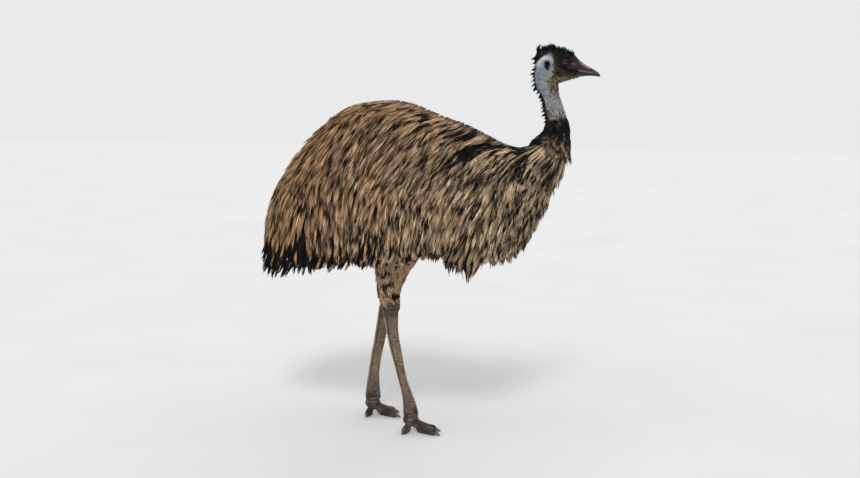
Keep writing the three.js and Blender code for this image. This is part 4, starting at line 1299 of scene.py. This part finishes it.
def mantleEnds(around, down, drop, breast, ridge, draw):
    # Where each feather ends, whether it has room above the hem, and where the wing's tuft draws it to.
    count = len(around)
    lengths = ("length", "breastLength", "ridgeLength")
    long, short, onRidge = (draw.uniform(*plumage[key], count) for key in lengths)
    length = mixed(long, short, breast)
    length = mixed(length, np.minimum(length, onRidge), ridge)
    uneven = hem["reach"] * draw.uniform(0, 1, count) ** 2 * mixed(0.7, 1.8, smooth(0.6, 0.9, around))
    last = 1 + uneven / -hemFall[2]
    for at, wide, rise in hemNotches:
        last = last - rise * bell(around - at, wide)
    last = last - hem["rear"] * smooth(*hem["rearAt"], around)
    # the wing's last feathers hang below the hem in a small tuft of two points
    tuftSpot = (around - wingTuft["at"]) / wingTuft["half"]
    inTuft = (np.abs(tuftSpot) < 1) & (down > wingTuft["from"])
    lobe = (tuftSpot > 0.25).astype(int)
    lobeAt = np.array(wingTuft["lobes"])[lobe]
    lobeReach = np.array(wingTuft["reach"])[lobe] * draw.uniform(0.4, 1, count) * (1 - 0.35 * tuftSpot ** 2)
    last = np.where(inTuft, 1 + lobeReach, last)
    tip = np.minimum(down + length / np.maximum(np.linalg.norm(drop, axis=1), 250), last)
    tip = np.where(inTuft, last, tip)
    return tip, down < last - hem["root"], inTuft, lobeAt


def mantleBlack(around, down, tip, breast, patch, draw):
    # How much of each feather is black from its tip: marked tips, whole dark areas and a black hem behind.
    count = len(around)
    areas = hills(darkAreas, around, tip)
    dark = np.max(areas, axis=0)
    whole = np.clip(dark, 0, 1) * (1 - smooth(0.07, 0.17, down))
    shoulder = bell(around - 0.24, 0.2)
    chance = 0.29 + 0.1 * shoulder + 0.3 * (patch - 0.5) + dark + np.min(areas, axis=0)
    marked = draw.uniform(0, 1, count) < chance
    blackTip = draw.uniform(0.16, 0.27, count) + 0.3 * dark * smooth(0.5, 0.4, tip) + 0.7 * whole
    black = np.where(marked, blackTip, draw.uniform(-0.02, 0.02, count))
    hemBlack = smooth(0.6, 0.7, around) * smooth(0.87, 0.99, tip + 0.08 * (patch - 0.5))
    longer = mixed(0.24, 0.48, smooth(0.7, 0.95, around))
    black = np.where(draw.uniform(0, 1, count) < hemBlack * 0.9, longer + draw.uniform(0, 0.22, count), black)
    lowDark = smooth(0.9, 1.0, tip) * (1 - breast)
    return np.where(draw.uniform(0, 1, count) < lowDark * 0.3, np.maximum(black, 0.4), black)


def mantleTan(around, tip, place, inTuft, patch, draw):
    # The colour of each feather's pale part: warmer on the rump, darker at the ridge, breast and tuft.
    warm = np.clip(smooth(0.3, 0.8, around) + 0.6 * (blotch(place, 110, 5) - 0.5), 0, 1)
    light = np.interp(draw.uniform(0, 1, len(around)), [0, 0.15, 0.5, 1], [0.3, 0.68, 1.04, 1.36])
    light = light * mixed(0.86, 1.12, patch) * (1 - 0.35 * inTuft) * mixed(0.6, 1.0, smooth(0.05, 0.42, tip))
    light = light * (1 - bell(around, 0.17) * mixed(0.6, 0.16, smooth(0.2, 0.45, tip)))
    return tinged(tones["front"], tones["rump"], warm) * light[:, None]


def mantleCoat(side, seed):
    draw = np.random.default_rng(seed)
    around, down = mantleRoots(side, draw)
    count = len(around)
    place, _, drop = mantle(around, np.clip(down, 0, 1), side)
    breast = 1 - smooth(0.1, 0.36, around)
    ridge = 1 - smooth(0.02, 0.14, down)
    tip, kept, inTuft, lobeAt = mantleEnds(around, down, drop, breast, ridge, draw)
    reach = np.maximum(tip - down, plumage["shortest"])
    # some feathers stand a little off the rest, more of them on the breast and along the ridge
    lift = draw.uniform(0, plumage["lift"], count)
    loose = draw.uniform(0, 1, count) < 0.1 + 0.1 * breast
    lift = lift + loose * draw.uniform(*plumage["looseLift"], count) * (1 + 0.7 * breast)
    lift = lift + plumage["ridgeLift"] * ridge * draw.uniform(0, 1, count) ** 2
    middle = mantleSpot(ringShares, np.full_like(ringShares, 0.5), side)
    perShare = np.interp(around, ringShares, np.linalg.norm(np.gradient(middle, ringShares, axis=0), axis=1))
    lean = (blotch(place, 70, seed) - 0.5) * 54 + (blotch(place, 26, seed + 9) - 0.5) * 26
    lean = lean + draw.normal(0, 7, count)
    patch = blotch(place, 40, 3)
    black = mantleBlack(around, down, tip, breast, patch, draw)
    tan = mantleTan(around, tip, place, inTuft, patch, draw)
    # the dim root, partly painted shade under the feathers over it, is left out near the ridge, where no other
    # feather covers it
    covered = smooth(0.0, 0.3, down)[:, None]
    dim = (mixed(-0.2, 0.42, covered), mixed(0.3, 0.74, covered))

    def path(share, offset, level, lane, pick):
        u = around[:, None] + (offset + lean[:, None] * share * 1.4) / perShare[:, None]
        v = down[:, None] + reach[:, None] * share
        u = mixed(u, lobeAt[:, None], 0.75 * inTuft[:, None] * smooth(0.97, 1.12, v))
        spots, out, _ = mantle(u.ravel(), v.ravel(), side)
        shape = (*share.shape, 3)
        out = out.reshape(shape)
        rise = np.interp(level, [0, 0.25, 0.5, 0.75, 1], plumage["sink"]) * mixed(0.22, 1, smooth(0, 0.2, v))
        rise = rise + lift[:, None] * level ** 1.5 - 1.2 * np.abs(lane) + 2 * (pick - 0.5)
        rise = rise + sum(hills(swells, u, v))
        spots = spots.reshape(shape) + out * rise[..., None]
        return spots, out, featherTint(tan[:, None], tones["root"], level, lane, pick, black[:, None], dim)

    patches = np.stack([0.5 + side * 0.47 * np.clip(around, 0, 1), 0.03 + 0.92 * np.clip(down, 0, 1)], -1)
    widths = plumage["halfWidth"] * draw.uniform(0.75, 1.25, count)
    strands, thin, curl = (plumage[key] for key in ("strands", "thin", "curl"))
    coat = feathers(path, count, strands, widths, patches, seed + 1, thin, curl)
    return chosen(coat, np.repeat(kept, strands))


for name, side in both:
    coatPieces("plumage_" + name, mantleCoat(side, 20 + side), "feather")


def tubeCoat(sectionAt, tintAt, seed, size):
    # Feathers that lie along a tube of sections, such as the neck's ruff.
    draw = np.random.default_rng(seed)
    first, last = size["roots"]
    rows = max(int(size["tall"] * (last - first) / size["rowStep"]), 2)
    starts = []
    for row in range(rows):
        level = mixed(first, last, row / (rows - 1))
        _, across, up = sectionAt(np.array([level]))
        girth = math.pi * (np.linalg.norm(across) + np.linalg.norm(up))
        count = max(int(girth / size["spacing"]), 5)
        angle = (np.arange(count) + draw.uniform(-0.45, 0.45, count) + 0.5 * (row % 2)) / count * 2 * np.pi
        starts.append(np.stack([angle, level + draw.uniform(-0.6, 0.6, count) / rows * (last - first)], -1))
    angle, down = np.concatenate(starts).T
    count = len(angle)
    reach = draw.uniform(*size["length"], count) / size["tall"]
    reach = np.minimum(down + reach, size["end"]) - down + draw.uniform(0, 0.05, count)
    lift = draw.uniform(0, 1, count) ** 2 * size["lift"]
    _, across, up = sectionAt(np.clip(down, 0, 1))
    radius = (np.linalg.norm(across, axis=1) + np.linalg.norm(up, axis=1)) / 2
    light = draw.uniform(0, 1, count)
    mark = draw.uniform(0, 1, count)
    lean = draw.normal(0, 7, count)

    def path(share, offset, level, lane, pick):
        turn = (angle[:, None] + (offset + lean[:, None] * share) / radius[:, None]).ravel()[:, None]
        v = (down[:, None] + reach[:, None] * share).ravel()
        middle, across, up = sectionAt(np.clip(v, 0, 1))
        spots = middle + across * np.sin(turn) + up * np.cos(turn)
        ways = unit(across / np.sum(across ** 2, -1, keepdims=True) * np.sin(turn)
                    + up / np.sum(up ** 2, -1, keepdims=True) * np.cos(turn))
        spots[:, 2] -= np.maximum(v - 1, 0) * size["tall"]
        behind = smooth(-0.2, -0.8, np.cos(turn)).reshape(share.shape) * size["behind"]
        rise = np.interp(level, [0, 0.4, 1], size["sink"]) + lift[:, None] * level ** 1.5
        rise = rise - np.abs(lane) - behind
        shape = (*share.shape, 3)
        spots = (spots + ways * rise.reshape(-1, 1)).reshape(shape)
        tint = tintAt(spots, level, lane, pick, light[:, None], mark[:, None])
        return spots, ways.reshape(shape), tint

    patches = np.stack([0.03 + 0.94 * (angle / (2 * np.pi) % 1.0), 0.03 + 0.92 * np.clip(down, 0, 1)], -1)
    widths = size["halfWidth"] * draw.uniform(0.8, 1.2, count)
    return feathers(path, count, size["strands"], widths, patches, seed + 1, size["thin"], size["curl"])


def ruffTint(place, level, lane, pick, light, mark):
    # Black on the nape and the neck, with more tan feathers towards the breast.
    low = smooth(1168, 1100, place[..., 2] + 45 * smooth(455, 425, place[..., 0]))
    tan = tones["ruff"] * mixed(0.4, 0.9, light)[..., None]
    blackish = np.where(mark < 0.93 - 0.63 * low, 0.9, 0.1)
    return featherTint(mixed(tan * 0.35, tan, low[..., None]), tones["ruffRoot"], level, lane, pick, blackish)


thighX = {name: np.interp(600, *np.array(legs[name]["thigh"], float)[::-1, [2, 0]].T) for name, _ in both}
thighSpots = [
    # ahead of the thigh's middle, height, half width, half height
    (-22, 612, 12, 22), (8, 624, 10, 16), (14, 580, 15, 16), (24, 528, 14, 20), (-44, 648, 9, 14),
    (38, 650, 9, 12), (2, 664, 10, 12),
]


def thighTint(place, level, lane, pick, light, mark):
    # Tan with black spots that run across several feathers.
    tan = tones["thigh"] * mixed(0.68, 1.02, light)[..., None]
    ahead = place[..., 0] - np.where(place[..., 1] < 0, thighX["right"], thighX["left"])
    near = [hump(ahead, place[..., 2], spot) for spot in thighSpots]
    spotted = np.maximum(blotch(place, 22, 33) - 0.2, np.max(near, axis=0))
    blackish = np.where(spotted + 0.3 * (mark - 0.5) > 0.6, 0.55, 0.0)
    return featherTint(tan, tones["root"], level, lane, pick, blackish, (0.3, 0.6))


# roots and end are shares of the tube's length, tall is that length in millimetres
ruffSize = {
    "roots": (0.04, 0.62), "end": 0.86, "tall": 200, "length": (38, 62), "rowStep": 9, "spacing": 8,
    "strands": 6, "halfWidth": 5.0, "sink": (-13, -6, -0.5), "lift": 5, "behind": 4, "thin": 1.3, "curl": 2.2,
}
thighSize = {
    "roots": (0.1, 0.8), "end": 0.93, "tall": 282, "length": (52, 78), "rowStep": 12, "spacing": 10.5,
    "strands": 6, "halfWidth": 6.5, "sink": (-14, -8, -1), "lift": 4, "behind": 0, "thin": 1.6, "curl": 2.0,
}
saddleLine = [
    # x, z of the line that the nape's feathers follow on to the back
    (440, 1164), (418, 1127), (390, 1106), (350, 1099), (310, 1107), (270, 1121), (225, 1139), (180, 1157),
]
saddle = {
    "count": 84, "long": 92, "half": (34, 17), "length": (58, 88), "lift": 3, "sink": (-9, -1, 1),
    "bow": 0.006, "black": 0.8, "strands": 7, "halfWidth": 6.0, "thin": 1.4, "curl": 2,
}


def saddleCoat(seed):
    # Black feathers of the nape that lie backwards over the start of the parting.
    draw = np.random.default_rng(seed)
    count = saddle["count"]
    line = np.array(saddleLine, float)
    start = draw.uniform(0, saddle["long"], count)
    aside = draw.uniform(-1, 1, count) * mixed(*saddle["half"], start / saddle["long"])
    long = draw.uniform(*saddle["length"], count)
    lift = draw.uniform(0, saddle["lift"], count)
    light = draw.uniform(0.4, 0.9, count)
    black = np.where(draw.uniform(0, 1, count) < saddle["black"], 0.95, 0.2)
    run = np.concatenate([[0], np.cumsum(np.hypot(*np.diff(line, axis=0).T))])

    def path(share, offset, level, lane, pick):
        s = start[:, None] + long[:, None] * share
        x = np.interp(s, run, line[:, 0])
        y = aside[:, None] * (1 + 0.5 * share) + offset
        rise = np.interp(level, [0, 0.4, 1], saddle["sink"]) + lift[:, None] * level + 2 * (pick - 0.5)
        z = np.interp(s, run, line[:, 1]) - saddle["bow"] * y ** 2 + rise
        out = unit(np.stack([np.full_like(x, 0.15), 2 * saddle["bow"] * y, np.ones_like(x)], -1))
        tan = tones["ruff"] * light[:, None, None]
        tint = featherTint(tan, tones["ruffRoot"], level, lane, pick, black[:, None])
        return np.stack([x, y, z], -1), out, tint

    patches = np.stack([0.5 + 0.004 * aside, 0.05 + 0.001 * start], -1)
    strands, thin, curl = (saddle[key] for key in ("strands", "thin", "curl"))
    return feathers(path, count, strands, np.full(count, saddle["halfWidth"]), patches, seed + 1, thin, curl)


ruffCoat = tubeCoat(lambda s: neckSection(ruffStations, s), ruffTint, 41, ruffSize)
coatPieces("ruff", gathered([ruffCoat, saddleCoat(61)]), "feather")
for name, side in both:
    thigh = tubeCoat(lambda s: limbSection(legs[name]["thigh"], s, side), thighTint, 51 + side, thighSize)
    coatPieces("thigh_" + name + "_feathers", thigh, "feather")


belly = {
    "from": -600, "to": 400, "step": 25.0, "rows": 15, "wider": 18, "root": 8, "length": (60, 95),
    "back": -0.16, "aside": 0.12, "strands": 5, "halfWidth": 12.0, "thin": 3.4, "curl": 3,
}


def bellyCoat(seed):
    # Short feathers that hang from the belly and close the coat from below.
    draw = np.random.default_rng(seed)
    steps = np.arange(belly["from"], belly["to"], belly["step"])
    x, across = np.meshgrid(steps, np.linspace(-1, 1, belly["rows"]))
    x = x.ravel() + draw.uniform(-9, 9, x.size)
    across = np.clip(across.ravel() + draw.uniform(-0.05, 0.05, x.size), -1, 1)
    xs, *columns = np.array(coreStations, float).T
    top, bottom, half = (np.interp(x, xs, column) for column in columns)
    half = half + belly["wider"]
    z = (top + bottom) / 2 - (top - bottom) / 2 * np.sqrt(np.maximum(1 - (across * 0.97) ** 2, 0.05))
    base = np.stack([x, across * half, z + belly["root"]], -1)
    long = draw.uniform(*belly["length"], x.size)
    light = draw.uniform(0.5, 1.0, x.size)
    way = unit(np.stack([np.full_like(x, belly["back"]), across * belly["aside"], np.full_like(x, -1)], -1)
               + draw.normal(0, 0.07, (x.size, 3)))
    out = unit(np.stack([0 * x, across * 0.9, np.full_like(x, -0.3)], -1))
    cross = unit(np.cross(way, out))

    def path(share, offset, level, lane, pick):
        spots = base[:, None] + way[:, None] * (long[:, None] * share)[..., None]
        spots = spots + cross[:, None] * offset[..., None] + out[:, None] * (6 * (pick - 0.5))[..., None]
        tint = featherTint(tones["belly"] * light[:, None, None], tones["root"], level, lane, pick, 0.1)
        return spots, np.broadcast_to(out[:, None], spots.shape), tint

    patches = np.stack([0.03 + 0.94 * (x + 620) / 1040, 0.5 + 0.45 * across], -1)
    widths = np.full(x.size, belly["halfWidth"])
    return feathers(path, x.size, belly["strands"], widths, patches, seed + 1, belly["thin"], belly["curl"])


coatPieces("belly", bellyCoat(71), "feather")
print("coat")


# ---- bristles and short hair of the head and neck

hairForm = {
    "rings": 2, "sink": 0.8, "tipHalf": 0.35, "bendOut": 0.45, "bendOn": 0.2, "scatter": 0.09, "least": 1e-9,
}


def lying(out, way):
    # A direction along the skin, from one in the head's own frame, with a share of the outward way.
    ahead, up, stand = way
    flow = np.array([ahead, 0, up]) @ headAxes
    return unit(flow - out * np.sum(flow * out, -1, keepdims=True)) + stand * out


def bristles(keep, count, each, long, half, way, apart, tint, seed, jitter):
    # Bunches of hairs from chance points of the head's own skin, where keep is high.
    draw = np.random.default_rng(seed)
    rings = hairForm["rings"]
    flat = count * each
    weight = keep(headSkin["places"]) + hairForm["least"]
    rows = draw.choice(len(weight), count, p=weight / weight.sum())
    place = headSkin["places"][rows] + draw.normal(0, 0.4, (count, 3))
    out = headSkin["normals"][rows]
    aim = unit(lying(out, way) + draw.normal(0, jitter, place.shape))
    length = draw.uniform(*long, count)[:, None]
    root = place[:, None] + apart * draw.normal(0, 1, (count, each, 3))
    above = np.sum((root - place[:, None]) * out[:, None], -1, keepdims=True)
    root = root - out[:, None] * (above + hairForm["sink"])
    tip = place + aim * length
    tip = tip[:, None] + draw.normal(0, hairForm["scatter"], (count, each, 3)) * length[:, None]
    tip = root + (tip - root) * draw.uniform(0.7, 1.05, (count, each, 1))
    bend = (place + out * length * hairForm["bendOut"] + aim * length * hairForm["bendOn"])[:, None]
    line = [root * (1 - f) ** 2 + bend * 2 * f * (1 - f) + tip * f * f for f in np.linspace(0, 1, rings + 1)]
    shade = np.repeat(tint(place, draw.uniform(0, 1, count)), each, axis=0)
    angle = np.arctan2(place[:, 1], place[:, 0] - 450) / (2 * np.pi) + 0.5
    patch = np.stack([0.03 + 0.94 * angle, 0.03 + 0.94 * (place[:, 2] - 1150) / 340], -1)
    taper = np.linspace(1, hairForm["tipHalf"], rings + 1)[None]
    return {
        "line": np.stack(line, 2).reshape(flat, rings + 1, 3),
        "out": np.repeat(np.repeat(out, each, axis=0)[:, None], rings + 1, 1),
        "half": half * draw.uniform(0.7, 1.3, flat)[:, None] * taper,
        "tint": np.repeat((shade * draw.uniform(0.7, 1.3, (flat, 1)))[:, None], rings + 1, 1),
        "patch": np.repeat(patch, each, axis=0),
        "lane": draw.uniform(-1, 1, flat),
    }


def crownKeep(places):
    x, y, z = toHead(places).T
    clumps = 0.06 + smooth(0.42, 0.62, blotch(places, 9, 15))
    top = smooth(-3, 5, z - crownHeight(x) - 8 * smooth(20, 4, x))
    top = top * smooth(-30, -20, x) * (1 - smooth(88, 106, x))
    return top * (0.3 + smooth(26, 8, np.abs(y))) * clumps


def backKeep(places):
    x, _, z = toHead(places).T
    return smooth(-2, 4, z - crownHeight(x)) * smooth(-24, -32, x)


def tallKeep(places):
    x, y, z = toHead(places).T
    return hump(x, y, (-34, 0, 4, 7)) * (z > 30)


def napeKeep(places):
    # A narrow comb of bunches, one to every 13.5 mm of the neck.
    ahead, aside = neckPlace(places)
    z = places[:, 2]
    clumps = smooth(0.5, 0.9, np.cos(z * 2 * np.pi / 13.5))
    strip = smooth(-0.8, -0.92, ahead) * (1 - smooth(0.2, 0.4, aside))
    return strip * (z > 1198) * (z < 1440) * clumps


def napeLowKeep(places):
    ahead, aside = neckPlace(places)
    z = places[:, 2]
    strip = smooth(-0.55, -0.75, ahead) * (1 - smooth(0.4, 0.75, aside))
    return strip * (z > 1198) * (0.4 * (z < 1440) + smooth(1330, 1260, z))


def faceKeep(places):
    x, _, z = toHead(places).T
    edge = faceEdge(z, 12)
    clearEye = np.hypot((x - eye["x"]) / 16, (z - eye["z"]) / 12) > 1.15
    return smooth(edge - 4, edge + 6, x) * (1 - smooth(102, 112, x)) * clearEye * smooth(-76, -66, z)


def neckKeep(places):
    ahead, _ = neckPlace(places)
    z = places[:, 2]
    low = smooth(1268, 1208, z)
    return (0.12 + smooth(0.1, 0.7, ahead) * (z > 1300) + 2.0 * low) * (z < 1366) * (z > 1196)


def earKeep(places):
    x, y, z = toHead(places).T
    return (earDown(x, z) < 0.95) * (np.abs(y) > 15)


def faceHair(places, shade):
    return faceTint(places) * (0.4 + 0.8 * shade[:, None] ** 2)


def neckHair(places, shade):
    return tinged(srgb(20, 18, 17), srgb(140, 124, 104), smooth(0.6, 0.9, shade))


def blackHair(places, shade):
    return tinged(srgb(9, 9, 10), srgb(26, 24, 24), shade)


hairs = [
    # where, bunches, hairs in each, length, half width, way (ahead, up, how far it stands off), how far apart
    # the roots are, colour, seed, how much a bunch turns by chance
    (crownKeep, 240, 8, (5, 10), 0.62, (-0.6, 1, 0.9), 1.8, blackHair, 81, 0.26),
    (crownKeep, 95, 14, (12, 19), 0.66, (-0.1, 1, 1.1), 1.5, blackHair, 88, 0.26),
    (backKeep, 90, 10, (4, 9), 0.62, (-0.2, -1, 0.5), 1.6, blackHair, 86, 0.26),
    (tallKeep, 8, 20, (24, 31), 0.75, (0.8, 1, 1.0), 2.2, blackHair, 87, 0.26),
    (napeKeep, 56, 30, (13, 18), 0.62, (-0.3, -1, 2.2), 2.4, blackHair, 82, 0.12),
    (napeLowKeep, 190, 8, (6, 11), 0.62, (-0.3, -1, 1.2), 1.6, blackHair, 89, 0.26),
    (faceKeep, 2100, 3, (3, 6), 0.38, (-1, -0.6, 0.25), 1.0, faceHair, 83, 0.26),
    (neckKeep, 1000, 3, (5, 10), 0.4, (-0.25, -1, 0.3), 1.2, neckHair, 84, 0.26),
    (earKeep, 130, 5, (5, 9), 0.4, (-0.7, -0.6, 0.3), 0.9, blackHair, 85, 0.26),
]
coatPieces("head_bristles", gathered([bristles(*row) for row in hairs]), "bristle")
print("bristles")


# ---- floor

bpy.ops.mesh.primitive_plane_add(size=40, location=(0, 0, -0.0005))
floor = bpy.context.object
floor.name = "floor"
paleFloor = Finish("paleFloor", Roughness=0.85)
paleFloor.paint(paleFloor.greys(paleFloor.noise(1.5, 2), (0.3, 0.66), (0.7, 0.69)))
floor.data.materials.append(paleFloor.material)
